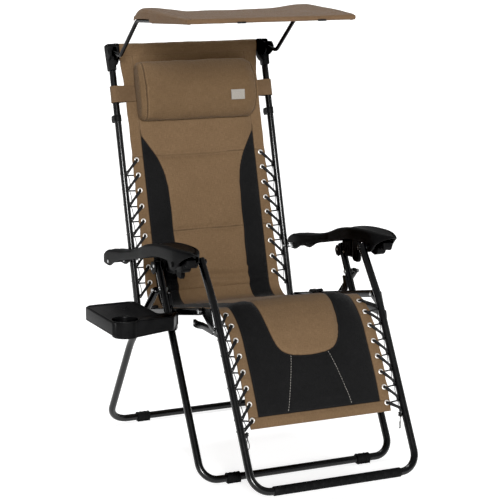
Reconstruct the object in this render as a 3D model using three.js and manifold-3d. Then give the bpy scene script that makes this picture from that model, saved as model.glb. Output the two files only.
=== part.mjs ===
// Reclining sun lounger with a tilting canopy, a sliding head pillow and a clip-on side tray.
// Millimetres, +Z up. The sitter faces -Y, +X is the sitter's left. Side-plane points are [y, z].
import * as THREE from 'three';
import { mergeVertices } from 'three/addons/utils/BufferGeometryUtils.js';
import Module from 'manifold-3d';

const wasm = await Module();
wasm.setup();

// ---------------------------------------------------------------- driving dimensions
const ORIGIN_SHIFT = [76.5, 59.12, 0];                   // puts the box's bottom centre on the origin
const GAP = 0.3;
const LEG_X = 295.5, LEG_R = 10.5;                  // front leg tube
const REAR_X = 317.5, REAR_R = 10.5;                // rear leg tube
const FOOT_X = 250, FOOT_R = 10.5;                  // foot frame tube
const BACK_X = 254, BACK_R = 10;                    // back frame tube
const RAIL_X = [265.5, 276.5], RAIL_H = 10.5;       // flat-oval seat rail, half height
const LEG_LEAN = 28.9 * Math.PI / 180;
const LEG_BAR = [-330, 14], LEG_TOP_Z = 576;
const REAR_PIVOT = [-62, 500];                      // rear leg on front leg
const RAIL_PIVOT = [-64, 433.5];                    // seat rail on front leg bracket
const FOOT_PIVOT = [-266, 476];                     // foot frame on seat rail
const BACK_PIVOT = [233, 371];                      // back frame on seat rail
const ARM_REAR = [271, 524];                        // armrest on back frame
const ARM_FRONT = [-230, 606];                      // foot frame top against armrest axle
const BACK_BASE = [236, 371], BACK_SLOPE = 0.2661;  // back tube axis
const REAR_BEND = [140, 301], REAR_BAR = [333, 14];
const FOOT_KNEE = [-324.1, 485], FOOT_BAR = [-563, 43];
const CANOPY_PIVOT = [405, 1132], CANOPY_ARM_X = 257, ROD_R = 6;
const PAD_HALF = 220, PILLOW_HALF = 200;
const BOLT_R = 3, HOLE_R = 3.3;

// ---------------------------------------------------------------- helpers
class Stations extends THREE.Curve {                // a path through fixed stations, with its own tangents
  constructor(pts) { super(); this.pts = pts; }
  getPoint(t, target = new THREE.Vector3()) {
    const n = this.pts.length - 1, f = Math.min(Math.max(t, 0), 1) * n;
    const i = Math.min(Math.floor(f + 1e-9), n - 1);
    return target.copy(this.pts[i]).lerp(this.pts[i + 1], f - i);
  }
  getPointAt(u, target) { return this.getPoint(u, target); }
  getTangentAt(u, target = new THREE.Vector3()) {
    const n = this.pts.length - 1, i = Math.round(u * n);
    const a = this.pts[Math.max(i - 1, 0)], b = this.pts[Math.min(i + 1, n)], c = this.pts[i];
    const d1 = c.clone().sub(a).normalize(), d2 = b.clone().sub(c).normalize();
    return target.copy(i === 0 ? d2 : i === n ? d1 : d1.add(d2).normalize());
  }
}
function fillet(corners, radii, n = 6) {            // polyline with arcs at its corners
  const out = [corners[0].clone()];
  for (let i = 1; i < corners.length - 1; i++) {
    const p = corners[i], a = corners[i - 1].clone().sub(p).normalize(), b = corners[i + 1].clone().sub(p).normalize();
    const r = radii[i - 1];
    if (!r) { out.push(p.clone()); continue; }
    const ang = a.angleTo(b), tan = r / Math.tan(ang / 2);
    const mid = a.clone().add(b).normalize(), c = p.clone().addScaledVector(mid, r / Math.sin(ang / 2));
    const s = p.clone().addScaledVector(a, tan).sub(c), e = p.clone().addScaledVector(b, tan).sub(c), sweep = Math.PI - ang;
    for (let k = 0; k <= n; k++) {
      const t = k / n, w1 = Math.sin((1 - t) * sweep) / Math.sin(sweep), w2 = Math.sin(t * sweep) / Math.sin(sweep);
      out.push(c.clone().addScaledVector(s, w1).addScaledVector(e, w2));
    }
  }
  out.push(corners[corners.length - 1].clone());
  return out;
}
const V = (x, y, z) => new THREE.Vector3(x, y, z);
const ring = (r, n, ph = 0) => Array.from({ length: n }, (_, i) => new THREE.Vector2(r * Math.cos(ph + 2 * Math.PI * i / n), r * Math.sin(ph + 2 * Math.PI * i / n)));
function rod(pts, r, sides = 12) {
  return new THREE.ExtrudeGeometry(new THREE.Shape(ring(r, sides)), { steps: pts.length - 1, bevelEnabled: false, extrudePath: new Stations(pts) });
}
// a side-plane outline [[y, z], ...] given a thickness in x
function plate(outline, x0, x1, holes = []) {
  const pts = outline.map(([y, z]) => new THREE.Vector2(y, z));
  const s = new THREE.Shape(THREE.ShapeUtils.area(pts) < 0 ? pts.reverse() : pts);
  for (const h of holes) s.holes.push(new THREE.Path(h.map(([y, z]) => new THREE.Vector2(y, z))));
  const g = new THREE.ExtrudeGeometry(s, { depth: Math.abs(x1 - x0), bevelEnabled: false, steps: 1 });
  g.applyMatrix4(new THREE.Matrix4().makeBasis(V(0, 1, 0), V(0, 0, 1), V(1, 0, 0)));
  return g.translate(Math.min(x0, x1), 0, 0);
}
// a plan outline [[x, y], ...] given a height in z
function slab(outline, z0, z1) {
  const g = new THREE.ExtrudeGeometry(new THREE.Shape(outline.map(([x, y]) => new THREE.Vector2(x, y))), { depth: z1 - z0, bevelEnabled: false, steps: 1 });
  return g.translate(0, 0, z0);
}
// a cylinder along x
function pin(x0, x1, [y, z], r, sides = 12) {
  return new THREE.CylinderGeometry(r, r, Math.abs(x1 - x0), sides).rotateZ(Math.PI / 2).translate((x0 + x1) / 2, y, z);
}
function solid(g) {
  const h = g.index ? g.clone() : g.clone();
  h.deleteAttribute('normal'); h.deleteAttribute('uv');
  const m = mergeVertices(h, 1e-3);
  return new wasm.Manifold(new wasm.Mesh({ numProp: 3, vertProperties: new Float32Array(m.attributes.position.array), triVerts: new Uint32Array(m.index.array) }));
}
function back(man) {
  const m = man.getMesh(), g = new THREE.BufferGeometry();
  const p = new Float32Array(m.numVert * 3);
  for (let i = 0; i < m.numVert; i++) for (let k = 0; k < 3; k++) p[3 * i + k] = m.vertProperties[i * m.numProp + k];
  g.setAttribute('position', new THREE.BufferAttribute(p, 3));
  g.setIndex(new THREE.BufferAttribute(new Uint32Array(m.triVerts), 1));
  g.computeVertexNormals();
  return g;
}
function cut(g, ...tools) { let m = solid(g); for (const t of tools) m = m.subtract(solid(t)); return back(m); }
function join(g, ...more) { let m = solid(g); for (const t of more) m = m.add(solid(t)); return back(m); }
function both(a, b) { return back(solid(a).intersect(solid(b))); }
const mirror = (g) => {                              // left-right mirror with the faces turned back outwards
  const h = g.clone().scale(-1, 1, 1);
  if (h.index) { const a = h.index.array; for (let i = 0; i < a.length; i += 3) [a[i], a[i + 1]] = [a[i + 1], a[i]]; }
  else for (const k of Object.keys(h.attributes)) {
    const t = h.attributes[k], s = t.itemSize, a = t.array;
    for (let i = 0; i < t.count; i += 3) for (let j = 0; j < s; j++) { const q = a[i * s + j]; a[i * s + j] = a[(i + 1) * s + j]; a[(i + 1) * s + j] = q; }
  }
  return h;
};
function stadium([y0, z0], [y1, z1], r, n = 6) {
  const a = Math.atan2(z1 - z0, y1 - y0), out = [];
  for (let i = 0; i <= n; i++) { const t = a + Math.PI / 2 + Math.PI * i / n; out.push([y0 + r * Math.cos(t), z0 + r * Math.sin(t)]); }
  for (let i = 0; i <= n; i++) { const t = a - Math.PI / 2 + Math.PI * i / n; out.push([y1 + r * Math.cos(t), z1 + r * Math.sin(t)]); }
  return out;
}
const hole = (p, r = HOLE_R, n = 12) => ring(r, n).map(v => [p[0] + v.x, p[1] + v.y]).reverse();

// ---------------------------------------------------------------- materials
const mat = (c, r, m = 0) => new THREE.MeshStandardMaterial({ color: new THREE.Color(c), roughness: r, metalness: m });
const frameBlack = () => mat('#141516', 0.28, 0.35), plastic = () => mat('#1b1c1d', 0.5), bolt = () => mat('#9a9ca0', 0.3, 0.9);
const brown = () => mat('#6d5138', 0.85), black = () => mat('#101113', 0.85), cord = () => mat('#0e0e0f', 0.7);

const lounger = new THREE.Group();
const parts = new THREE.Group();
lounger.add(parts);
parts.position.set(...ORIGIN_SHIFT);
const add = (name, geometry, material) => { const m = new THREE.Mesh(geometry, material); m.name = name; parts.add(m); return m; };
const pair = (name, g, material) => { add(name + '_right', g, material()); add(name + '_left', mirror(g), material()); };

// ---------------------------------------------------------------- front leg
const legY = (z) => LEG_BAR[0] + Math.tan(LEG_LEAN) * (z - LEG_BAR[1]);
const legPath = fillet([V(-LEG_X, legY(LEG_TOP_Z), LEG_TOP_Z), V(-LEG_X, ...LEG_BAR), V(LEG_X, ...LEG_BAR), V(LEG_X, legY(LEG_TOP_Z), LEG_TOP_Z)], [50, 50]);
const legHoles = (s) => [pin(s * (LEG_X - 12), s * (LEG_X + 12), REAR_PIVOT, HOLE_R), pin(s * (LEG_X - 12), s * (LEG_X + 12), [legY(562), 562], HOLE_R)];
add('front_leg_tube', cut(rod(legPath, LEG_R), ...legHoles(1), ...legHoles(-1)), frameBlack());

// bracket that carries the seat rail: a plate beside the rail and a boss welded to the leg
const legAt = (z) => [legY(z), z];
{
  const p1 = legAt(488), p2 = legAt(458);
  const plateOutline = [[p1[0] - 7, p1[1] + 4], [p1[0] + 8, p1[1] + 2], [p2[0] + 18, p2[1] + 10], [RAIL_PIVOT[0] + 13, RAIL_PIVOT[1] + 5], [RAIL_PIVOT[0] + 11, RAIL_PIVOT[1] - 9], [RAIL_PIVOT[0], RAIL_PIVOT[1] - 14], [RAIL_PIVOT[0] - 12, RAIL_PIVOT[1] - 8], [p2[0] - 8, p2[1] - 2]];
  const g = join(plate(plateOutline, 277, 280.2), plate([[p1[0] - 7, p1[1]], [p1[0] + 7, p1[1]], [p2[0] + 7, p2[1]], [p2[0] - 7, p2[1]]], 280, 284.7));
  pair('pivot_bracket', cut(g, pin(270, 290, RAIL_PIVOT, HOLE_R)), frameBlack);
}
const bolts = (name, x0, x1, p, headIn, headOut, r = 6) => {    // shank with a domed head at each end
  const g = join(pin(x0, x1, p, BOLT_R), pin(x0 - headIn, x0 + 0.01, p, r), pin(x1 - 0.01, x1 + headOut, p, r));
  pair(name, g, bolt);
};
bolts('leg_pivot_rivet', LEG_X - LEG_R - GAP, REAR_X + REAR_R + GAP, REAR_PIVOT, 2.5, 3);
bolts('rail_pivot_bolt', RAIL_X[0] - GAP, 280.5, RAIL_PIVOT, 0.9, 3);

// slide block at the leg's top: it fills the armrest's channel and carries the fin plate
{
  const top = legAt(LEG_TOP_Z);
  const fin = [[top[0] - 14, 574], [top[0] + 12, 572], [top[0] + 20, 556], [top[0] + 12, 541], [top[0] - 2, 536], [top[0] - 22, 548]];
  const T = [legY(562), 562];                        // with its rivet through the leg
  pair('leg_slide_fin', join(plate(fin, 306.4, 309.4), pin(LEG_X - LEG_R - GAP, 309, T, BOLT_R), pin(LEG_X - LEG_R - 1.1, LEG_X - LEG_R - GAP + 0.01, T, 5.5), pin(309, 311.2, T, 5.5)), plastic);
}

// rubber-soled sleeves on the floor bars
function floorSleeve(x, y, len, tubeR) {
  const o = []; for (let a = -30; a <= 210; a += 20) o.push([y + 14.2 * Math.cos(a * Math.PI / 180), 14 + 14.2 * Math.sin(a * Math.PI / 180)]);
  o.push([y - 11, 0], [y + 11, 0]);
  return plate(o, x - len / 2, x + len / 2, [hole([y, 14], tubeR + GAP + 0.1, 16)]);
}
pair('front_foot_sleeve', floorSleeve(203, LEG_BAR[0], 40, LEG_R), plastic);
pair('rear_foot_sleeve', floorSleeve(205, REAR_BAR[0], 40, REAR_R), plastic);

// ---------------------------------------------------------------- rear leg
{
  const d = [REAR_BEND[0] - REAR_PIVOT[0], REAR_BEND[1] - REAR_PIVOT[1]], L = Math.hypot(...d);
  const end = [REAR_PIVOT[0] - 12 * d[0] / L, REAR_PIVOT[1] - 12 * d[1] / L];
  const path = fillet([V(-REAR_X, ...end), V(-REAR_X, ...REAR_BEND), V(-REAR_X, ...REAR_BAR), V(REAR_X, ...REAR_BAR), V(REAR_X, ...REAR_BEND), V(REAR_X, ...end)], [260, 62, 62, 260]);
  add('rear_leg_tube', cut(rod(path, REAR_R), pin(300, 335, REAR_PIVOT, HOLE_R), pin(-335, -300, REAR_PIVOT, HOLE_R)), frameBlack());
}

// ---------------------------------------------------------------- seat rails
const railD = [BACK_PIVOT[0] - FOOT_PIVOT[0], BACK_PIVOT[1] - FOOT_PIVOT[1]], railL = Math.hypot(...railD);
const rail = (s, o = 0) => [FOOT_PIVOT[0] + (s * railD[0] - o * railD[1]) / railL, FOOT_PIVOT[1] + (s * railD[1] + o * railD[0]) / railL];
pair('seat_rail', plate(stadium(rail(0), rail(railL), RAIL_H), RAIL_X[0], RAIL_X[1], [hole(FOOT_PIVOT), hole(RAIL_PIVOT), hole(BACK_PIVOT)]), frameBlack);
{
  const c = (s) => rail(s, RAIL_H + GAP), e = (s) => rail(s, RAIL_H + 7);
  pair('rail_clip', plate([c(325), c(398), e(392), e(331)], RAIL_X[0] - 4, RAIL_X[1] - 0.5), plastic);
}
bolts('foot_pivot_bolt', 258, RAIL_X[1] + GAP, FOOT_PIVOT, 2, 2.5);
bolts('back_pivot_bolt', BACK_X - BACK_R - GAP, RAIL_X[1] + GAP, BACK_PIVOT, 2.5, 2.5);

// ---------------------------------------------------------------- foot frame
{
  const d = [ARM_FRONT[0] - FOOT_KNEE[0], ARM_FRONT[1] - FOOT_KNEE[1]], L = Math.hypot(...d);
  const end = [ARM_FRONT[0] + 9 * d[0] / L, ARM_FRONT[1] + 9 * d[1] / L];
  const path = fillet([V(-FOOT_X, ...end), V(-FOOT_X, ...FOOT_KNEE), V(-FOOT_X, ...FOOT_BAR), V(FOOT_X, ...FOOT_BAR), V(FOOT_X, ...FOOT_KNEE), V(FOOT_X, ...end)], [160, 54, 54, 160]);
  const stud = (k) => [pin(k * (FOOT_X - FOOT_R - 2.8), k * (FOOT_X + FOOT_R + 4.5), ARM_FRONT, 7, 14)];
  add('foot_tube', join(rod(path, FOOT_R), ...stud(1), ...stud(-1)), frameBlack());
}
const footY = (z) => FOOT_KNEE[0] + (z - FOOT_KNEE[1]) * (FOOT_KNEE[0] - FOOT_BAR[0]) / (FOOT_KNEE[1] - FOOT_BAR[1]);
{
  const g = plate([[footY(492) + 2, 494], [footY(492) + 16, 490], [FOOT_PIVOT[0] + 2, FOOT_PIVOT[1] + 11], [FOOT_PIVOT[0] + 10, FOOT_PIVOT[1] + 5], [FOOT_PIVOT[0] + 11, FOOT_PIVOT[1] - 6], [FOOT_PIVOT[0], FOOT_PIVOT[1] - 11], [footY(440) + 30, 436], [footY(440) + 4, 434]], 261, 264.8, [hole(FOOT_PIVOT)]);
  const s = plate([[footY(446) + 16, 440], [-262, 441], [-230, 437], [-204, 438], [-204, 424], [-216, 421], [-232, 424], [-264, 430], [footY(436) + 16, 428]], 259, 264.6);
  pair('foot_bracket', join(g, s), frameBlack);
}
{
  const o = ring(13, 16).map(v => [FOOT_BAR[0] + v.x, FOOT_BAR[1] + v.y]);
  add('foot_bar_sleeve', plate(o, -192, 192, [hole(FOOT_BAR, FOOT_R + GAP + 0.1, 16)]), plastic());
}

// ---------------------------------------------------------------- back frame
const bs = BACK_SLOPE / Math.hypot(1, BACK_SLOPE), bc = 1 / Math.hypot(1, BACK_SLOPE);
const onBack = (s, o = 0) => [BACK_BASE[0] + s * bs + o * bc, BACK_BASE[1] + s * bc - o * bs];
const TUBE_END = 782, BAR_S = 797;
const backTube = (r, s0, s1, x = BACK_X) => rod([V(x, ...onBack(s0)), V(x, ...onBack(s1))], r, 14);
pair('back_tube', cut(backTube(BACK_R, -8, TUBE_END), pin(240, 268, BACK_PIVOT, HOLE_R), pin(240, 268, ARM_REAR, HOLE_R)), frameBlack);
add('back_top_bar', plate(ring(9, 14).map(v => [onBack(BAR_S)[0] + v.x, onBack(BAR_S)[1] + v.y]), -262, 262), frameBlack());
pair('back_end_cap', cut(rod([V(BACK_X, ...onBack(-22)), V(BACK_X, ...onBack(-8 - GAP))], 10.6, 14)), plastic);
{
  const q = (list) => list.map(([s, o]) => onBack(s, o));
  let g = join(
    plate(q([[726, -12], [764, -16], [800, -17], [812, -11], [814, 8], [806, 15], [764, 15.5], [726, 12]]), 239, 269),
    plate(q([[760, -15], [764, -34], [772, -42], [784, -43], [792, -38], [798, -15]]), 243, 249.8),
    plate(q([[760, -15], [764, -34], [772, -42], [784, -43], [792, -38], [798, -15]]), 264.2, 271));
  g = cut(g, backTube(BACK_R + GAP, 700, TUBE_END + GAP), plate(ring(9 + GAP, 14).map(v => [onBack(BAR_S)[0] + v.x, onBack(BAR_S)[1] + v.y]), 230, 262 + GAP), pin(238, 276, CANOPY_PIVOT, HOLE_R));
  pair('corner_bracket', g, plastic);
  const st = plate(q([[572, 10.5], [572, 30], [582, 34], [594, 30], [594, 10.5]]), 246, 262);
  pair('back_stop', st, plastic);
}
bolts('canopy_pivot_bolt', 242.6, 271.4, CANOPY_PIVOT, 2.5, 4, 8);
{
  const x0 = BACK_X - BACK_R - GAP;                  // shouldered bolt: its collar spaces the armrest off the tube
  pair('arm_pivot_bolt', join(pin(x0, 284.5, ARM_REAR, BOLT_R), pin(x0 - 2.5, x0 + 0.01, ARM_REAR, 6), pin(264.4, 280.4, ARM_REAR, 7), pin(284.4, 287, ARM_REAR, 6)), bolt);
}

// ---------------------------------------------------------------- armrests
const armTop = [[322, 531], [315, 542], [300, 551], [280, 557], [215, 567], [165, 574], [120, 583], [80, 592], [40, 604], [5, 616], [-25, 625], [-65, 634], [-105, 641], [-160, 647], [-220, 650], [-270, 650], [-300, 649], [-318, 646]];
const armBottom = [[-318, 640], [-300, 634], [-283, 627], [-262, 614], [-255, 606], [-246, 595], [-230, 590], [-213, 594], [-203, 607], [-185, 612], [-110, 607], [-40, 592], [40, 572], [130, 553], [205, 536], [240, 521], [258, 513], [285, 512], [308, 514], [321, 521]];
const inside = (list, d) => list.map(([y, z]) => [y, z - d]);
const armPlan = (m) => [[281 + m, 315 - m], [286 + m, 322 - m], [328 - m, 322 - m], [334 - m, 315 - m], [335 - m, 60], [338 - m, -20], [339 - m, -120], [338 - m, -250], [334 - m, -296 + m], [320 - m, -317.6 + m], [290 + m, -317.6 + m], [274 + m, -296 + m], [268 + m, -250], [268 + m, -120], [274 + m, -50], [281 + m, 40]];
{
  const outer = both(plate([...armTop, ...armBottom], 260, 345), slab([...armPlan(0)].reverse(), 480, 680));
  const cavity = both(plate([...inside(armTop, 5), [-318, 560], [-260, 560], [200, 470], [322, 470]], 260, 345), slab([...armPlan(3.2)].reverse(), 460, 680));
  const skirt = plate([[345, 505], [345, 600], [40, 700], [-345, 700], [-345, 560], [-203, 560], [-180, 560], [-100, 560], [60, 500], [240, 500]], 260, 345);
  let g = cut(outer, cavity, pin(278, 286, ARM_REAR, HOLE_R), pin(262, 345, ARM_FRONT, 5.3));
  g = both(g, skirt);
  pair('armrest', g, plastic);
  // axle at the armrest's front, facing the foot frame's top end
  const axle = join(pin(264.6 + 3, 339.5, ARM_FRONT, 5, 14), pin(271.6, 334.4, ARM_FRONT, 10, 16), pin(339.4, 342, ARM_FRONT, 8, 16));
  pair('arm_axle', axle, frameBlack);
  // lock box hanging inboard of the leg
  const box = plate([[-165, 636], [-130, 634], [-129, 556], [-138, 548], [-160, 547], [-166, 553]], 271.6, 283.4);
  pair('lock_box', box, plastic);
  // squeeze lever with finger waves under the armrest's front
  const lever = [[-196, 600], [-206, 622], [-214, 634], [-284, 624], [-287, 611], [-281, 601], [-273, 605], [-266, 598], [-258, 602], [-251, 594], [-244, 584], [-230, 580], [-214, 583], [-203, 590]];
  const lv = plate(lever, 288, 318);
  pair('lock_lever', cut(lv, pin(280, 326, ARM_FRONT, 12)), plastic);
}

// ---------------------------------------------------------------- sling pads
const qp = (fn, list) => list.map(([s, o]) => fn(s, o));
const backPad = [[78, 3], [90, 2], [430, 2], [770, 2], [782, 4], [782, 16], [770, 20], [430, 22], [90, 20], [78, 17]];
add('back_pad', plate(qp(onBack, backPad).reverse(), -PAD_HALF, PAD_HALF), brown());
const seatPad = [[28, -13], [60, -14], [250, -16], [430, -15], [446, -13], [446, -4], [430, -2], [250, -2], [60, -2], [28, -4]];
add('seat_pad', plate(qp((s, o) => rail(s, o), seatPad), -PAD_HALF, PAD_HALF), black());
const footDir = [(FOOT_KNEE[0] - FOOT_BAR[0]), (FOOT_KNEE[1] - FOOT_BAR[1])], footL = Math.hypot(...footDir);
const onFoot = (s, o = 0) => [FOOT_BAR[0] + (s * footDir[0] + o * footDir[1]) / footL, FOOT_BAR[1] + (s * footDir[1] - o * footDir[0]) / footL];
const legPad = [[180, 1], [195, 0], [400, 0], [448, 8], [456, 16], [450, 20], [400, 14], [195, 14], [180, 12]];
add('leg_pad', plate(qp(onFoot, legPad).reverse(), -212, 212), black());

// elastic lacing: zigzag between the sling's grommets and the frame tube
const LACE_R = 1.7;
function lacing(on, x0, x1, s0, s1, n, o) {
  const pts = [], step = (s1 - s0) / n;
  for (let i = 0; i < n; i++) {
    pts.push(V(x0, ...on(s0 + i * step, o)));
    pts.push(V(x1, ...on(s0 + (i + 0.5) * step, o)));
  }
  pts.push(V(x0, ...on(s1, o)));
  return rod(pts, LACE_R, 6);
}
pair('back_lacing', lacing(onBack, 208, BACK_X - BACK_R - 2.4, 120, 600, 11, -3.2), cord);
pair('leg_lacing', lacing(onFoot, 206, FOOT_X - FOOT_R - 2.4, 190, 440, 8, -3.2), cord);

// ---------------------------------------------------------------- head pillow
{
  const S = 658, prof = [];
  for (let i = 0; i < 20; i++) { const a = 2 * Math.PI * i / 20, c = Math.cos(a), s = Math.sin(a); prof.push([S + 92 * Math.sign(s) * Math.pow(Math.abs(s), 0.72), -36 + 32 * Math.sign(c) * Math.pow(Math.abs(c), 0.85)]); }
  add('head_pillow', plate(qp(onBack, prof), -PILLOW_HALF, PILLOW_HALF), brown());
  // strap: a loop round the tube and a tail to the pillow's end
  const o = [];
  for (let a = -150; a <= 150; a += 20) o.push([BACK_X + 12.4 * Math.cos(a * Math.PI / 180), 12.4 * Math.sin(a * Math.PI / 180)]);
  o.push([230, 1.2], [200.5, 1.2], [200.5, -1.2], [230, -1.2]);
  const inner = ring(10.7, 16).map(v => new THREE.Vector2(BACK_X + v.x, v.y)).reverse();
  const sh = new THREE.Shape(o.map(([x, y]) => new THREE.Vector2(x, y)));
  sh.holes.push(new THREE.Path(inner));
  const g = new THREE.ExtrudeGeometry(sh, { depth: 50, bevelEnabled: false, steps: 1 });
  const [y0, z0] = onBack(630, 0);
  // local axes: x stays, shape y -> rearward offset, depth -> along the tube
  g.applyMatrix4(new THREE.Matrix4().makeBasis(V(1, 0, 0), V(0, bc, -bs), V(0, bs, bc)));
  g.translate(0, y0, z0);
  pair('pillow_strap', g, brown);
}

// ---------------------------------------------------------------- canopy
{
  const P = CANOPY_PIVOT, F = [-152, 1254];
  const side = (s) => [V(s * CANOPY_ARM_X, P[0] + 7, P[1] + 1), V(s * CANOPY_ARM_X, 347, 1124), V(s * CANOPY_ARM_X, 208, 1237), V(s * CANOPY_ARM_X, ...F)];
  const path = fillet([...side(-1), ...side(1).reverse()], [32, 50, 26, 26, 50, 32], 5);
  add('canopy_frame', cut(rod(path, ROD_R, 10), pin(238, 276, P, HOLE_R), pin(-276, -238, P, HOLE_R)), frameBlack());
  const top = [[196, 1262], [150, 1268], [60, 1271], [-40, 1270], [-120, 1267], [-166, 1261]];
  const low = top.map(([y, z]) => [y, z - 0]).reverse();
  const outline = [...top.map(([y, z]) => [y, z + 4]), ...low.map(([y, z]) => [y, z])];
  // the sheet's sides hang down to the rods
  const drop = [[202, 1229], [202, 1263], [150, 1269.5], [60, 1272.5], [-40, 1271.5], [-120, 1268.5], [-146, 1265.5], [-146, 1248]];
  add('canopy_fabric', join(plate(outline.reverse(), -277, 277), plate(drop, 263.4, 266.4), plate(drop, -266.4, -263.4)), brown());
}

// ---------------------------------------------------------------- side tray
{
  const round = (x0, x1, y0, y1, r, n = 4) => {
    const o = [];
    for (const [cx, cy, a0] of [[x1 - r, y1 - r, 0], [x0 + r, y1 - r, 90], [x0 + r, y0 + r, 180], [x1 - r, y0 + r, 270]])
      for (let i = 0; i <= n; i++) { const a = (a0 + 90 * i / n) * Math.PI / 180; o.push([cx + r * Math.cos(a), cy + r * Math.sin(a)]); }
    return o;
  };
  const Z = 450, cup = [-449, -160];
  const tongue = (z0, z1, m) => slab([[-345 - m, -189 + m], [-317 - 1.7 * m, -189 + m], [-287 - m, -140 + 0.6 * m], [-287 - m, -131 - m], [-345 - m, -131 - m]], z0, z1);
  let g = join(slab(round(-495, -338, -190, 50, 26), Z - 38, Z), tongue(Z - 38, Z, 0));
  g = cut(g, slab(round(-492, -341, -187, 47, 23), Z - 60, Z - 4), tongue(Z - 60, Z - 4, 3));
  const cyl = (r, z0, z1, n = 28) => new THREE.CylinderGeometry(r, r, z1 - z0, n).rotateX(Math.PI / 2).translate(cup[0], cup[1], (z0 + z1) / 2);
  // lowered deck inside a raised rim
  g = cut(g, slab(round(-488, -345, -183, 43, 20), Z - 1.6, Z + 2));
  g = join(g, cyl(38.5, 401, Z - 0.4));
  g = cut(g, cyl(36, 404, Z + 3));
  // lip that hooks round the inboard side of the front leg
  g = join(g, slab([[-288.5, -141], [-281, -137], [-281, -104], [-284.4, -104], [-284.4, -130.5], [-288.5, -130.5]], 414, 447));
  add('tray_top', g, plastic());
}

export default lounger;
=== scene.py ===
"""Looks of a folding sun lounger with a canopy, a laced padded sling, a head pillow, contoured armrests and a side tray.

Shapes are worked out in millimetres about the chair's own middle plane (x to the right, y to the back, z up) and turned into the frame's metres by place().
"""
import math

import bmesh
import bpy
import numpy as np
from mathutils import Matrix, Vector


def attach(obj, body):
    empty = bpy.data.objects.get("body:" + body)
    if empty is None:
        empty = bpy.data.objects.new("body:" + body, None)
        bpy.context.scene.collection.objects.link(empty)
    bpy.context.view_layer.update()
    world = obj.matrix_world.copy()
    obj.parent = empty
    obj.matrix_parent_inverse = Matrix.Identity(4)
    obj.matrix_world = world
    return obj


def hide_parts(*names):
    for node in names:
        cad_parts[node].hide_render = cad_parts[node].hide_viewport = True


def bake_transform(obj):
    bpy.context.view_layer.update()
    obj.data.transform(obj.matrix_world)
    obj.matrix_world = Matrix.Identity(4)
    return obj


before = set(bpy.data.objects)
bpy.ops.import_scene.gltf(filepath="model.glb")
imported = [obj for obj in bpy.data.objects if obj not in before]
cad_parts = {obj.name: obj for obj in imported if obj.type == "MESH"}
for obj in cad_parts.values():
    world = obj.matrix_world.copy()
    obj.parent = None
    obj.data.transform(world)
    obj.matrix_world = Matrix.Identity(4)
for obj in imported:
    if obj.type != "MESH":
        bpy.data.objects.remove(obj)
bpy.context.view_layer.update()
SX, SY = 76.5, 59.12


def place(p):
    """Chair millimetres to frame metres, for one point or many."""
    return (np.asarray(p, float) + (SX, SY, 0.0)) / 1000.0


# ------------------------------------------------------------------ noise and curves
def hash2(i, j, seed):
    n = (i * 374761393 + j * 668265263 + seed * 974634777) & 0xFFFFFFFF
    n = ((n ^ (n >> 13)) * 1274126177) & 0xFFFFFFFF
    return ((n ^ (n >> 16)) & 0xFFFF) / 32767.5 - 1.0


def noise2(x, y, seed=1):
    """Smooth value noise from -1 to 1, one cell per unit."""
    x, y = np.broadcast_arrays(np.asarray(x, float), np.asarray(y, float))
    i, j = np.floor(x).astype(np.int64), np.floor(y).astype(np.int64)
    fx, fy = x - i, y - j
    fx, fy = fx * fx * (3 - 2 * fx), fy * fy * (3 - 2 * fy)
    a, b = hash2(i, j, seed), hash2(i + 1, j, seed)
    c, d = hash2(i, j + 1, seed), hash2(i + 1, j + 1, seed)
    return (a * (1 - fx) + b * fx) * (1 - fy) + (c * (1 - fx) + d * fx) * fy


def resample_rows(p, n):
    """Rows of any width, evenly spaced along their first two columns' path."""
    c = catmull(p, 6)
    a = np.r_[0, np.cumsum(np.hypot(np.diff(c[:, 0]), 22 * np.diff(c[:, 1]) + np.diff(c[:, 2])))]
    t = np.linspace(0, a[-1], n)
    return np.stack([np.interp(t, a, c[:, k]) for k in range(c.shape[1])], 1)


def smooth01(v):
    v = np.clip(v, 0, 1)
    return v * v * (3 - 2 * v)


def bell(d, w):
    return np.exp(-((np.asarray(d, float) / w) ** 2))


def catmull(points, per=12):
    """A smooth curve through the points, closely sampled."""
    p = np.asarray(points, float)
    p = np.vstack([2 * p[0] - p[1], p, 2 * p[-1] - p[-2]])
    out = []
    for i in range(1, len(p) - 2):
        k = (np.arange(per) / per)[:, None]
        a, b, c, d = p[i - 1], p[i], p[i + 1], p[i + 2]
        out.append(0.5 * (2 * b + (c - a) * k + (2 * a - 5 * b + 4 * c - d) * k**2 + (3 * b - a - 3 * c + d) * k**3))
    out.append(p[-2][None])
    return np.vstack(out)


def arc_of(p):
    return np.r_[0, np.cumsum(np.linalg.norm(np.diff(p, axis=0), axis=1))]


def resample(p, n):
    a = arc_of(p)
    t = np.linspace(0, a[-1], n)
    return np.stack([np.interp(t, a, p[:, k]) for k in range(p.shape[1])], 1)


def fillet(corners, radii, n=14):
    """A polyline whose corners are arcs."""
    c = [np.asarray(q, float) for q in corners]
    out = [c[0]]
    for i in range(1, len(c) - 1):
        p, r = c[i], radii[i - 1]
        a, b = c[i - 1] - p, c[i + 1] - p
        a, b = a / np.linalg.norm(a), b / np.linalg.norm(b)
        ang = math.acos(max(-1, min(1, float(a @ b))))
        tan, mid = r / math.tan(ang / 2), (a + b) / np.linalg.norm(a + b)
        ctr = p + mid * r / math.sin(ang / 2)
        s, e, sweep = p + a * tan - ctr, p + b * tan - ctr, math.pi - ang
        for k in range(n + 1):
            t = k / n
            out.append(ctr + s * math.sin((1 - t) * sweep) / math.sin(sweep) + e * math.sin(t * sweep) / math.sin(sweep))
    out.append(c[-1])
    return np.array(out)


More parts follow.
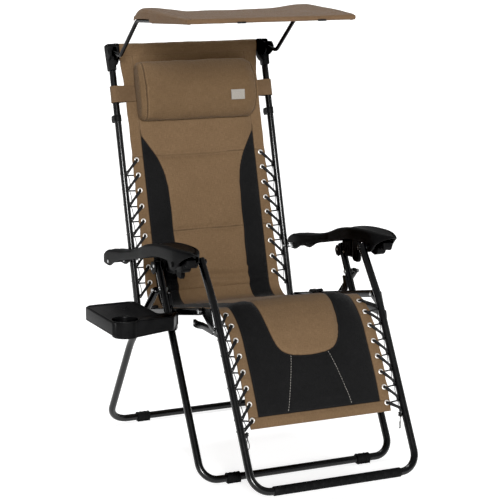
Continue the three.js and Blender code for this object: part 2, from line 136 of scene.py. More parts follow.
def rounded(poly, r, n=5):
    """A closed 2-D outline with rounded corners; r is one radius or one for each corner."""
    poly = [np.asarray(q, float) for q in poly]
    rr = [r] * len(poly) if np.isscalar(r) else list(r)
    out = []
    for i, p in enumerate(poly):
        a, b = poly[i - 1] - p, poly[(i + 1) % len(poly)] - p
        la, lb = np.linalg.norm(a), np.linalg.norm(b)
        a, b = a / la, b / lb
        ang = math.acos(max(-1, min(1, float(a @ b))))
        tan = min(rr[i] / math.tan(ang / 2), la * 0.48, lb * 0.48) if ang < math.pi - 1e-3 else 0
        if tan < 0.05:
            out.append(p)
            continue
        rad = tan * math.tan(ang / 2)
        ctr = p + (a + b) / np.linalg.norm(a + b) * rad / math.sin(ang / 2)
        s, e, sweep = p + a * tan - ctr, p + b * tan - ctr, math.pi - ang
        for k in range(n + 1):
            t = k / n
            out.append(ctr + (s * math.sin((1 - t) * sweep) + e * math.sin(t * sweep)) / math.sin(sweep))
    return np.array(out)


# ------------------------------------------------------------------ driving lines (side plane, mm)
BACK_L = math.hypot(1, 0.2661)
BS, BC = 0.2661 / BACK_L, 1 / BACK_L
RAIL_L = 509.93
FOOT_D, FOOT_L = (238.9, 442.0), 502.43
LEAN = math.radians(28.9)


def on_back(s, o=0.0):
    return 236 + s * BS + o * BC, 371 + s * BC - o * BS


def on_rail(s, o=0.0):
    return -266 + (499 * s + 105 * o) / RAIL_L, 476 + (-105 * s + 499 * o) / RAIL_L


def on_foot(s, o=0.0):
    return -563 + (s * FOOT_D[0] + o * FOOT_D[1]) / FOOT_L, 43 + (s * FOOT_D[1] - o * FOOT_D[0]) / FOOT_L


def leg_y(z):
    return -330 + math.tan(LEAN) * (z - 14)


# ------------------------------------------------------------------ materials
class Graph:
    """A material's nodes, with short names for the ones used here."""

    def __init__(self, name):
        self.m = bpy.data.materials.new(name)
        self.m.use_nodes = True
        self.nt = self.m.node_tree
        self.nt.nodes.clear()
        self.b = self.add("ShaderNodeBsdfPrincipled")
        out = self.add("ShaderNodeOutputMaterial")
        self.link(self.b.outputs[0], out.inputs["Surface"])

    def add(self, kind, **props):
        n = self.nt.nodes.new(kind)
        for k, v in props.items():
            setattr(n, k, v)
        return n

    def link(self, a, b):
        self.nt.links.new(a, b)

    def put(self, socket, value):
        if isinstance(value, bpy.types.NodeSocket):
            self.link(value, socket)
        else:
            socket.default_value = value

    def math(self, op, a, b=None, c=None, clamp=False):
        n = self.add("ShaderNodeMath", operation=op, use_clamp=clamp)
        for i, v in enumerate((a, b, c)):
            if v is not None:
                self.put(n.inputs[i], v)
        return n.outputs[0]

    def mix(self, fac, a, b, blend="MIX"):
        n = self.add("ShaderNodeMix", data_type="RGBA", blend_type=blend)
        self.put(n.inputs[0], fac)
        self.put(n.inputs[6], a)
        self.put(n.inputs[7], b)
        return n.outputs[2]

    def span(self, v, a, b, lo=0.0, hi=1.0, smooth=False):
        n = self.add("ShaderNodeMapRange", interpolation_type="SMOOTHSTEP" if smooth else "LINEAR")
        self.put(n.inputs[0], v)
        for i, x in enumerate((a, b, lo, hi)):
            n.inputs[i + 1].default_value = x
        return n.outputs[0]

    def scaled(self, vec, s):
        n = self.add("ShaderNodeMapping")
        self.link(vec, n.inputs[0])
        n.inputs["Scale"].default_value = s
        return n.outputs[0]

    def noise(self, vec, scale, detail=2.0, rough=0.5, distort=0.0):
        n = self.add("ShaderNodeTexNoise")
        self.link(vec, n.inputs["Vector"])
        n.inputs["Scale"].default_value = scale
        n.inputs["Detail"].default_value = detail
        n.inputs["Roughness"].default_value = rough
        n.inputs["Distortion"].default_value = distort
        return n.outputs["Fac"]

    def cells(self, vec, scale, feature="F1"):
        n = self.add("ShaderNodeTexVoronoi", feature=feature)
        self.link(vec, n.inputs["Vector"])
        n.inputs["Scale"].default_value = scale
        return n.outputs["Distance"]

    def coords(self, kind="Object"):
        return self.add("ShaderNodeTexCoord").outputs[kind]

    def xyz(self, vec):
        n = self.add("ShaderNodeSeparateXYZ")
        self.link(vec, n.inputs[0])
        return n.outputs

    def attr(self, name):
        return self.add("ShaderNodeAttribute", attribute_name=name, attribute_type="GEOMETRY").outputs["Fac"]

    def ramp(self, fac, stops):
        n = self.add("ShaderNodeValToRGB")
        self.link(fac, n.inputs[0])
        e = n.color_ramp.elements
        while len(e) < len(stops):
            e.new(0.5)
        for k, (pos, col) in enumerate(stops):
            e[k].position, e[k].color = pos, col
        return n.outputs[0]

    def bump(self, height, strength, distance, normal=None):
        n = self.add("ShaderNodeBump")
        self.link(height, n.inputs["Height"])
        n.inputs["Strength"].default_value = strength
        n.inputs["Distance"].default_value = distance
        if normal is not None:
            self.link(normal, n.inputs["Normal"])
        return n.outputs[0]

    def set(self, **values):
        for k, v in values.items():
            self.put(self.b.inputs[k.replace("_", " ")], v)
        return self


def rgb(*c):
    return (*c, 1.0)


def edge_wear(g, lo=0.52, hi=0.6):
    """How far a point is on an edge, from the mesh's own curvature."""
    return g.span(g.add("ShaderNodeNewGeometry").outputs["Pointiness"], lo, hi)


def paint_material():
    """Gloss black powder coat: a fine orange peel, a few dull patches, and a film of dust."""
    g = Graph("powder_coat_black")
    p = g.coords()
    patches, peel = g.noise(p, 11, 4, 0.6), g.noise(p, 700, 2)
    dust = g.noise(p, 75, 5, 0.7)
    base = g.ramp(patches, [(0.3, rgb(0.0034, 0.0035, 0.0037)), (0.7, rgb(0.0062, 0.0063, 0.0065))])
    g.set(Base_Color=g.mix(g.span(dust, 0.55, 0.85, 0.0, 0.35), base, rgb(0.014, 0.014, 0.014)))
    g.set(Roughness=g.math("ADD", g.span(patches, 0.3, 0.7, 0.19, 0.25), g.span(dust, 0.5, 0.9, 0.0, 0.08)))
    g.b.inputs["Specular IOR Level"].default_value = 0.26
    g.b.inputs["Coat Weight"].default_value = 0.15
    g.b.inputs["Coat Roughness"].default_value = 0.1
    g.set(Normal=g.bump(peel, 0.08, 0.0002))
    return g.m


def plastic_material(name, dark, light, grain=1400.0, rough=(0.34, 0.5)):
    """Moulded plastic: a fine leather-like grain, flow marks, and edges rubbed lighter."""
    g = Graph(name)
    p = g.coords()
    flow, speck = g.noise(g.scaled(p, (1, 0.35, 1)), 22, 5, 0.6, 0.4), g.noise(p, 320, 3, 0.6)
    base = g.ramp(flow, [(0.25, dark), (0.75, light)])
    base = g.mix(g.span(speck, 0.55, 0.8, 0.0, 0.35), base, rgb(*[min(1, 1.5 * c) for c in light[:3]]))
    worn = g.math("MULTIPLY", edge_wear(g, 0.52, 0.62), g.span(speck, 0.35, 0.75, 0.0, 0.6))
    g.set(Base_Color=g.mix(worn, base, rgb(0.03, 0.03, 0.03)))
    g.set(Roughness=g.span(flow, 0.2, 0.8, *rough))
    g.b.inputs["Specular IOR Level"].default_value = 0.07
    g.b.inputs["IOR"].default_value = 1.4
    grain_h = g.math("ADD", g.cells(p, grain), g.math("MULTIPLY", speck, 0.6))
    g.set(Normal=g.bump(grain_h, 0.14, 0.00025))
    return g.m


def steel_material():
    """Zinc-plated steel: a turned sheen, with a bloom of dull zinc."""
    g = Graph("zinc_steel")
    p = g.coords()
    bloom, turned = g.noise(p, 260, 5, 0.65), g.noise(g.scaled(p, (1, 9, 9)), 500, 2)
    g.set(Base_Color=g.ramp(bloom, [(0.3, rgb(0.38, 0.39, 0.4)), (0.7, rgb(0.66, 0.66, 0.65))]))
    g.set(Roughness=g.span(bloom, 0.3, 0.8, 0.24, 0.46))
    g.b.inputs["Metallic"].default_value = 1.0
    g.set(Normal=g.bump(turned, 0.15, 0.0002))
    return g.m


def eyelet_material():
    """Bright nickel eyelets with a fine lacquered haze."""
    g = Graph("nickel_eyelet")
    p = g.coords()
    haze = g.noise(p, 320, 4, 0.6)
    g.set(Base_Color=g.ramp(haze, [(0.3, rgb(0.72, 0.71, 0.69)), (0.7, rgb(0.9, 0.89, 0.87))]))
    g.set(Roughness=g.span(haze, 0.3, 0.8, 0.3, 0.5))
    g.b.inputs["Metallic"].default_value = 0.75
    g.set(Normal=g.bump(haze, 0.1, 0.0002))
    return g.m


def weave_height(g, uv, pitch):
    """Plain weave from metric coordinates: threads pass over and under by turns."""
    c = g.xyz(uv)
    u, v = g.math("DIVIDE", c[0], pitch), g.math("DIVIDE", c[1], pitch)
    parity = g.math("MODULO", g.math("ADD", g.math("FLOOR", u), g.math("FLOOR", v)), 2.0)
    parity = g.math("ABSOLUTE", parity)
    hu = g.math("ABSOLUTE", g.math("SINE", g.math("MULTIPLY", u, math.pi)))
    hv = g.math("ABSOLUTE", g.math("SINE", g.math("MULTIPLY", v, math.pi)))
    return g.math("ADD", g.math("MULTIPLY", hu, parity), g.math("MULTIPLY", hv, g.math("SUBTRACT", 1.0, parity)))


def heather(g, uv, low, mid, high):
    """Melange yarn: streaks both ways, cloudy dye and single pale fibres."""
    warp = g.noise(g.scaled(uv, (900, 60, 1)), 1.0, 3, 0.7)
    weft = g.noise(g.scaled(uv, (60, 900, 1)), 1.0, 3, 0.7)
    cloud = g.noise(g.scaled(uv, (9, 9, 1)), 1.0, 4, 0.6)
    streak = g.math("MULTIPLY", g.math("ADD", warp, weft), 0.5)
    base = g.ramp(streak, [(0.34, low), (0.5, mid), (0.66, high)])
    shade = g.mix(g.span(cloud, 0.25, 0.75, 0.0, 0.34), base, rgb(*[0.72 * c for c in mid[:3]]))
    fibre = g.noise(g.scaled(uv, (2200, 500, 1)), 1.0, 1, 0.5)
    return g.mix(g.span(fibre, 0.7, 0.86, 0.0, 0.4), shade, rgb(*[min(1, 1.7 * c + 0.02) for c in high[:3]])), cloud


BROWN = (rgb(0.102, 0.0625, 0.0325), rgb(0.142, 0.089, 0.0475), rgb(0.187, 0.121, 0.068))
BLACK = (rgb(0.0042, 0.0042, 0.0045), rgb(0.0068, 0.0068, 0.0070), rgb(0.0112, 0.0112, 0.0114))


def sling_material():
    """The sling's two cloths, parted along the sewn seam, with the seams' shade and their stitches."""
    g = Graph("sling_cloth")
    uv = g.coords("UV")
    brown, cloud = heather(g, uv, *BROWN)
    black, _ = heather(g, uv, *BLACK)
    side = g.span(g.attr("panel"), -0.35, 0.35)
    col = g.mix(side, brown, black)
    seam = g.attr("seam")
    # painted shade: the ditch of each seam is darkened towards near black, as shadow in its groove
    seam_shade = g.span(seam, 0.3, 3.0, 0.55, 0.0, smooth=True)
    col = g.mix(seam_shade, col, rgb(0.012, 0.009, 0.007))
    c = g.xyz(uv)
    along = g.math("ADD", g.math("MULTIPLY", c[0], 250.0), g.math("MULTIPLY", c[1], 250.0))
    dash = g.math("GREATER_THAN", g.math("FRACT", along), 0.34)
    row = g.math("MULTIPLY", g.math("LESS_THAN", g.math("ABSOLUTE", g.math("SUBTRACT", seam, 4.3)), 0.42), dash)
    thread = g.mix(side, rgb(0.16, 0.106, 0.064), rgb(0.018, 0.018, 0.018))
    col = g.mix(g.math("MULTIPLY", row, 0.75), col, thread)
    g.set(Base_Color=col)
    g.set(Roughness=g.span(cloud, 0.2, 0.8, 0.78, 0.92))
    g.b.inputs["Sheen Weight"].default_value = 0.05
    g.b.inputs["Sheen Roughness"].default_value = 0.4
    g.b.inputs["Specular IOR Level"].default_value = 0.16
    h = weave_height(g, uv, 0.0016)
    n1 = g.bump(h, 0.55, 0.0005)
    n2 = g.bump(g.noise(g.scaled(uv, (70, 70, 1)), 1.0, 4, 0.6), 0.25, 0.004, n1)
    g.set(Normal=g.bump(row, 0.3, 0.0006, n2))
    return g.m


def cloth_material(name, tones, seam_attr=None, pitch=0.0016, sheen=0.05):
    g = Graph(name)
    uv = g.coords("UV")
    col, cloud = heather(g, uv, *tones)
    if seam_attr:
        seam = g.attr(seam_attr)
        # painted shade: the ditch along each seam is darkened, as shadow in its groove
        col = g.mix(g.span(seam, 0.3, 3.0, 0.6, 0.0, smooth=True), col, rgb(0.016, 0.011, 0.008))
        c = g.xyz(uv)
        along = g.math("ADD", g.math("MULTIPLY", c[0], 240.0), g.math("MULTIPLY", c[1], 240.0))
        dash = g.math("GREATER_THAN", g.math("FRACT", along), 0.36)
        row = g.math("MULTIPLY", g.math("LESS_THAN", g.math("ABSOLUTE", g.math("SUBTRACT", seam, 4.6)), 0.45), dash)
        col = g.mix(g.math("MULTIPLY", row, 0.7), col, rgb(*[min(1, 1.35 * x) for x in tones[2][:3]]))
    g.set(Base_Color=col, Roughness=g.span(cloud, 0.2, 0.8, 0.78, 0.92))
    g.b.inputs["Sheen Weight"].default_value = sheen
    g.b.inputs["Sheen Roughness"].default_value = 0.4
    g.b.inputs["Specular IOR Level"].default_value = 0.12
    n1 = g.bump(weave_height(g, uv, pitch), 0.5, 0.0005)
    g.set(Normal=g.bump(g.noise(g.scaled(uv, (60, 60, 1)), 1.0, 4, 0.6), 0.25, 0.004, n1))
    return g.m


def cord_material():
    """Braided elastic: two sets of strands crossing round the cord."""
    g = Graph("braided_elastic")
    uv = g.coords("UV")
    c = g.xyz(uv)
    a = g.math("ADD", g.math("MULTIPLY", c[0], 700.0), g.math("MULTIPLY", c[1], 420.0))
    b = g.math("SUBTRACT", g.math("MULTIPLY", c[0], 700.0), g.math("MULTIPLY", c[1], 420.0))
    h = g.math("MAXIMUM", g.math("ABSOLUTE", g.math("SINE", a)), g.math("ABSOLUTE", g.math("SINE", b)))
    fuzz = g.noise(g.scaled(uv, (400, 900, 1)), 1.0, 3, 0.7)
    g.set(Base_Color=g.ramp(g.math("MULTIPLY", h, fuzz), [(0.2, rgb(0.004, 0.004, 0.0042)), (0.75, rgb(0.012, 0.012, 0.0122))]))
    g.set(Roughness=g.span(fuzz, 0.2, 0.8, 0.55, 0.8))
    g.b.inputs["Specular IOR Level"].default_value = 0.3
    g.set(Normal=g.bump(h, 0.6, 0.0005))
    return g.m


def thread_material():
    g = Graph("stitch_thread")
    p = g.coords()
    n = g.noise(p, 900, 3)
    g.set(Base_Color=g.ramp(n, [(0.3, rgb(0.2, 0.19, 0.17)), (0.7, rgb(0.36, 0.34, 0.31))]), Roughness=g.span(n, 0.2, 0.8, 0.6, 0.85))
    g.set(Normal=g.bump(n, 0.4, 0.0002))
    return g.m


def label_material():
    """A bare woven label."""
    g = Graph("woven_label")
    p = g.coords()
    n, w = g.noise(p, 700, 3), g.noise(g.scaled(p, (1, 1, 14)), 260, 1)
    g.set(Base_Color=g.ramp(n, [(0.25, rgb(0.19, 0.175, 0.15)), (0.75, rgb(0.29, 0.27, 0.24))]), Roughness=g.span(n, 0.2, 0.8, 0.6, 0.8))
    g.set(Normal=g.bump(w, 0.4, 0.0003))
    return g.m


PAINT = paint_material()
ROD_PAINT = paint_material()                         # the canopy's thin rods have a duller coat
for node in ROD_PAINT.node_tree.nodes:
    if node.type == "BSDF_PRINCIPLED":
        node.inputs["Specular IOR Level"].default_value = 0.1
        node.inputs["Coat Weight"].default_value = 0.04
PLASTIC = plastic_material("moulded_black", rgb(0.0045, 0.0045, 0.0047), rgb(0.0082, 0.0082, 0.0084), 1400.0, (0.42, 0.55))
TRAY_MAT = plastic_material("moulded_tray", rgb(0.0055, 0.0055, 0.0057), rgb(0.0095, 0.0095, 0.0097), 1100.0, (0.24, 0.36))
RUBBER = plastic_material("sleeve_rubber", rgb(0.0045, 0.0045, 0.0047), rgb(0.008, 0.008, 0.0082), 900.0, (0.45, 0.65))
STEEL = steel_material()
SLING = sling_material()
# painted shade: the pillow's cloth is the sling's brown made about a sixth darker
PILLOW_SHADED_MAT = cloth_material("pillow_cloth_shaded", (rgb(0.084, 0.0515, 0.0265), rgb(0.118, 0.074, 0.039), rgb(0.156, 0.101, 0.0565)), "seam")
STRAP_MAT = cloth_material("strap_cloth", (rgb(0.088, 0.055, 0.030), rgb(0.122, 0.077, 0.043), rgb(0.158, 0.103, 0.060)), pitch=0.0012)
CANOPY_MAT = cloth_material("canopy_cloth", (rgb(0.098, 0.058, 0.0315), rgb(0.134, 0.082, 0.0455), rgb(0.172, 0.108, 0.062)), "seam", 0.0012, 0.08)
EYELET = eyelet_material()
CORD = cord_material()
THREAD = thread_material()
LABEL = label_material()


# ------------------------------------------------------------------ mesh builders
def obj_from(name, verts, faces, mat, uv=None, attrs=None, sharp=40.0, close=True):
    """An object from chair millimetres, with smooth faces up to the angle sharp."""
    me = bpy.data.meshes.new(name)
    me.from_pydata(place(verts).tolist(), [], [list(map(int, f)) for f in faces])
    me.validate()
    if uv is not None:
        layer = me.uv_layers.new(name="UVMap")
        loops = np.zeros(len(me.loops), np.int64)
        me.loops.foreach_get("vertex_index", loops)
        layer.data.foreach_set("uv", np.asarray(uv, np.float32)[loops].ravel())
    for k, v in (attrs or {}).items():
        me.attributes.new(k, "FLOAT", "POINT").data.foreach_set("value", np.asarray(v, np.float32))
    if close:
        bm = bmesh.new()
        bm.from_mesh(me)
        bmesh.ops.recalc_face_normals(bm, faces=bm.faces)
        bm.to_mesh(me)
        bm.free()
    me.materials.append(mat)
    me.shade_smooth()
    me.set_sharp_from_angle(angle=math.radians(sharp))
    o = bpy.data.objects.new(name, me)
    bpy.context.scene.collection.objects.link(o)
    return o


def obj_from_bm(bm, name, mat, sharp=35.0):
    """The same for a bmesh in chair millimetres."""
    bmesh.ops.recalc_face_normals(bm, faces=bm.faces)
    bm.transform(Matrix.Scale(0.001, 4) @ Matrix.Translation((SX, SY, 0)))
    me = bpy.data.meshes.new(name)
    bm.to_mesh(me)
    bm.free()
    me.materials.append(mat)
    me.shade_smooth()
    me.set_sharp_from_angle(angle=math.radians(sharp))
    o = bpy.data.objects.new(name, me)
    bpy.context.scene.collection.objects.link(o)
    return o


def stands_for(o, body, slot=None, *nodes):
    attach(o, body)
    if nodes:
        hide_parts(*nodes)
    return o


def sweep(pts, r, sides=24, end=1.2, first=None):
    """A round tube along points, with softly rounded ends: verts, faces, uv."""
    p = np.asarray(pts, float)
    keep = np.r_[True, np.linalg.norm(np.diff(p, axis=0), axis=1) > 1e-4]
    p = p[keep]
    rad = np.full(len(p), float(r)) if np.isscalar(r) else np.asarray(r, float)[keep]
    if end:
        a, b = p[1] - p[0], p[-2] - p[-1]
        a, b = a / np.linalg.norm(a), b / np.linalg.norm(b)
        th = np.radians((90, 60, 30, 0))
        head = [p[0] + a * end * (1 - math.sin(t)) for t in th]
        tail = [p[-1] + b * end * (1 - math.sin(t)) for t in th[::-1]]
        p = np.vstack([head, p[1:-1], tail])
        rad = np.r_[[rad[0] - end + end * math.cos(t) for t in th], rad[1:-1], [rad[-1] - end + end * math.cos(t) for t in th[::-1]]]
    d = np.diff(p, axis=0)
    d /= np.linalg.norm(d, axis=1)[:, None]
    tan = np.vstack([d[0], d[:-1] + d[1:], d[-1]])
    tan /= np.linalg.norm(tan, axis=1)[:, None]
    u = np.asarray(first if first is not None else ((1, 0, 0) if abs(tan[0][0]) < 0.8 else (0, 1, 0)), float)
    verts, uv, arc = [], [], arc_of(p)
    ang = 2 * math.pi * np.arange(sides) / sides
    for i in range(len(p)):
        u = u - tan[i] * (u @ tan[i])
        u /= np.linalg.norm(u)
        v = np.cross(tan[i], u)
        verts.append(p[i] + rad[i] * (np.cos(ang)[:, None] * u + np.sin(ang)[:, None] * v))
        uv.append(np.stack([ang * rad[i] / 1000, np.full(sides, arc[i] / 1000)], 1))
    n = len(p)
    faces = [[i * sides + j, i * sides + (j + 1) % sides, (i + 1) * sides + (j + 1) % sides, (i + 1) * sides + j] for i in range(n - 1) for j in range(sides)]
    faces += [list(range(sides))[::-1], [(n - 1) * sides + j for j in range(sides)]]
    return np.vstack(verts), faces, np.vstack(uv)


def merged(parts):
    """Several (verts, faces, uv) as one."""
    vs, fs, us, k = [], [], [], 0
    for v, f, u in parts:
        vs.append(v)
        us.append(u)
        fs += [[i + k for i in q] for q in f]
        k += len(v)
    return np.vstack(vs), fs, np.vstack(us)


def tube(name, pts, r, mat=None, sides=28, end=1.2):
    v, f, u = sweep(pts, r, sides, end)
    return obj_from(name, v, f, mat or PAINT, u)


def prism_bm(bm, outline, origin, ax, ay, az, d0, d1, bevel=1.0, seg=3):
    """Adds a bevelled plate: outline in (ax, ay) about origin, from d0 to d1 along az."""
    origin, ax, ay, az = (np.asarray(q, float) for q in (origin, ax, ay, az))
    base = [origin + ax * a + ay * b + az * d0 for a, b in outline]
    vs = [bm.verts.new(tuple(q)) for q in base]
    f = bm.faces.new(vs)
    ext = bmesh.ops.extrude_face_region(bm, geom=[f])
    top = [e for e in ext["geom"] if isinstance(e, bmesh.types.BMVert)]
    bmesh.ops.translate(bm, verts=top, vec=Vector(az * (d1 - d0)))
    mine = set(vs) | set(top)
    edges = []
    if bevel:
        caps = {f} | {e for e in ext["geom"] if isinstance(e, bmesh.types.BMFace)}
        for e in {e for v in mine for e in v.link_edges}:
            on_cap = any(fc in caps for fc in e.link_faces)
            if on_cap or (len(e.link_faces) == 2 and e.calc_face_angle(0) > math.radians(32)):
                edges.append(e)
        bmesh.ops.bevel(bm, geom=edges, offset=bevel, offset_type="OFFSET", segments=seg, profile=0.5, affect="EDGES", clamp_overlap=True)
    return bm


def plates(name, items, mat, bevel=1.0, seg=3, sharp=35.0):
    """One object of side-plane plates: each item is (outline of (y, z), x0, x1[, bevel])."""
    bm = bmesh.new()
    for it in items:
        prism_bm(bm, it[0], (0, 0, 0), (0, 1, 0), (0, 0, 1), (1, 0, 0), min(it[1], it[2]), max(it[1], it[2]), it[3] if len(it) > 3 else bevel, seg)
    return obj_from_bm(bm, name, mat, sharp)


def lathe_x(profile, centre, sides=28, k=1):
    """A turned part about a line along x: profile of (x, radius), closed at both ends."""
    prof = [(a * k, r) for a, r in profile]
    ang = 2 * math.pi * np.arange(sides) / sides
    verts, faces, uv, rings = [], [], [], []
    for a, r in prof:
        if r < 1e-6:
            rings.append([len(verts)])
            verts.append((a, centre[0], centre[1]))
            uv.append((0, a / 1000))
            continue
        rings.append(list(range(len(verts), len(verts) + sides)))
        for t in ang:
            verts.append((a, centre[0] + r * math.cos(t), centre[1] + r * math.sin(t)))
            uv.append((t * r / 1000, a / 1000))
    for p, q in zip(rings, rings[1:]):
        for j in range(sides):
            j2 = (j + 1) % sides
            if len(p) == 1:
                faces.append([p[0], q[j], q[j2]])
            elif len(q) == 1:
                faces.append([p[j], q[0], p[j2]])
            else:
                faces.append([p[j], q[j], q[j2], p[j2]])
    return np.array(verts), faces, np.array(uv)


def dome(x_face, height, r, out):
    """Profile of a domed head whose flat side is at x_face, growing towards out (+1 or -1); ends at the crown."""
    pts = [(x_face, r - 0.5), (x_face + out * 0.5, r)]
    for a in (20, 40, 60, 78):
        t = math.radians(a)
        pts.append((x_face + out * (0.5 + (height - 0.5) * math.sin(t)), r * math.cos(t) ** 0.8))
    return [*pts, (x_face + out * height, 0)]


def bolt(name, x0, x1, c, hi, ho, r, body, k, mat=None):
    """A pin with a domed head at each end, standing for the CAD node of that name."""
    inner = dome(x0, hi, r, -1)[::-1]
    outer = dome(x1, ho, r, 1)
    prof = [*inner, (x0, 3.0), (x1, 3.0), *outer]
    v, f, u = lathe_x(prof, c, 24, k)
    o = obj_from(name + "_visual", v, f, mat or STEEL, u, sharp=50)
    return stands_for(o, body, "rivet_steel", name)


SIDES = (("right", 1), ("left", -1))

# ------------------------------------------------------------------ steel tubes
LEG_X, REAR_X, FOOT_X, BACK_X, CAN_X = 295.5, 317.5, 250.0, 254.0, 257.0
P_REAR, P_RAIL, P_FOOT, P_BACK = (-62, 500), (-64, 433.5), (-266, 476), (233, 371)
P_ARM_R, P_ARM_F, P_CAN = (271, 524), (-230, 606), (405, 1132)

top = (leg_y(576), 576)
stands_for(tube("front_leg_visual", fillet([(-LEG_X, *top), (-LEG_X, -330, 14), (LEG_X, -330, 14), (LEG_X, *top)], [50, 50]), 10.5), "front_leg", "frame_black", "front_leg_tube")
d = np.array([140 + 62, 301 - 500.0])
e = np.array([-62, 500.0]) - 5.5 * d / np.linalg.norm(d)
stands_for(
    tube("rear_leg_visual", fillet([(-REAR_X, *e), (-REAR_X, 140, 301), (-REAR_X, 333, 14), (REAR_X, 333, 14), (REAR_X, 140, 301), (REAR_X, *e)], [260, 62, 62, 260]), 10.5, end=6.5),
    "rear_leg", "frame_black", "rear_leg_tube")
d = np.array([-230 + 324.1, 606 - 485.0])
e = np.array([-230, 606.0]) + 9 * d / np.linalg.norm(d)
FOOT_TOP = (float(e[0]), float(e[1]))
foot_parts = [sweep(fillet([(-FOOT_X, *e), (-FOOT_X, -324.1, 485), (-FOOT_X, -563, 43), (FOOT_X, -563, 43), (FOOT_X, -324.1, 485), (FOOT_X, *e)], [160, 54, 54, 160]), 10.5, 28)]
for _, k in SIDES:                                   # the stud that faces the armrest's axle, with a shoulder
    foot_parts.append(lathe_x([(236.7, 0), (236.7, 5.8), (237.6, 7), (262, 7), (263.4, 7), (264.6, 6), (265, 0)], P_ARM_F, 24, k))
v, f, u = merged(foot_parts)
stands_for(obj_from("foot_frame_visual", v, f, PAINT, u), "foot_frame", "frame_black", "foot_tube")
for side, k in SIDES:
    stands_for(tube(f"back_tube_{side}_visual", [(k * BACK_X, *on_back(-8)), (k * BACK_X, *on_back(782))], 10), "back_frame", "frame_black", f"back_tube_{side}")
stands_for(tube("back_top_bar_visual", [(-262, *on_back(797)), (262, *on_back(797))], 9), "back_frame", "frame_black", "back_top_bar")
CANOPY_PATH = [(412, 1133), (347, 1124), (208, 1237), (-152, 1254)]
left, right = [(-CAN_X, *q) for q in CANOPY_PATH], [(CAN_X, *q) for q in CANOPY_PATH]
canopy_line = fillet([*left, *right[::-1]], [32, 50, 26, 26, 50, 32])
stands_for(tube("canopy_rod_visual", canopy_line, 6, ROD_PAINT, sides=20), "canopy", "frame_black", "canopy_frame")

# ------------------------------------------------------------------ flat-oval rails, brackets, bolts
def stadium(a, b, r, n=12):
    t0 = math.atan2(b[1] - a[1], b[0] - a[0])
    return [(a[0] + r * math.cos(t0 + math.pi / 2 + math.pi * i / n), a[1] + r * math.sin(t0 + math.pi / 2 + math.pi * i / n)) for i in range(n + 1)] + [
        (b[0] + r * math.cos(t0 - math.pi / 2 + math.pi * i / n), b[1] + r * math.sin(t0 - math.pi / 2 + math.pi * i / n)) for i in range(n + 1)]


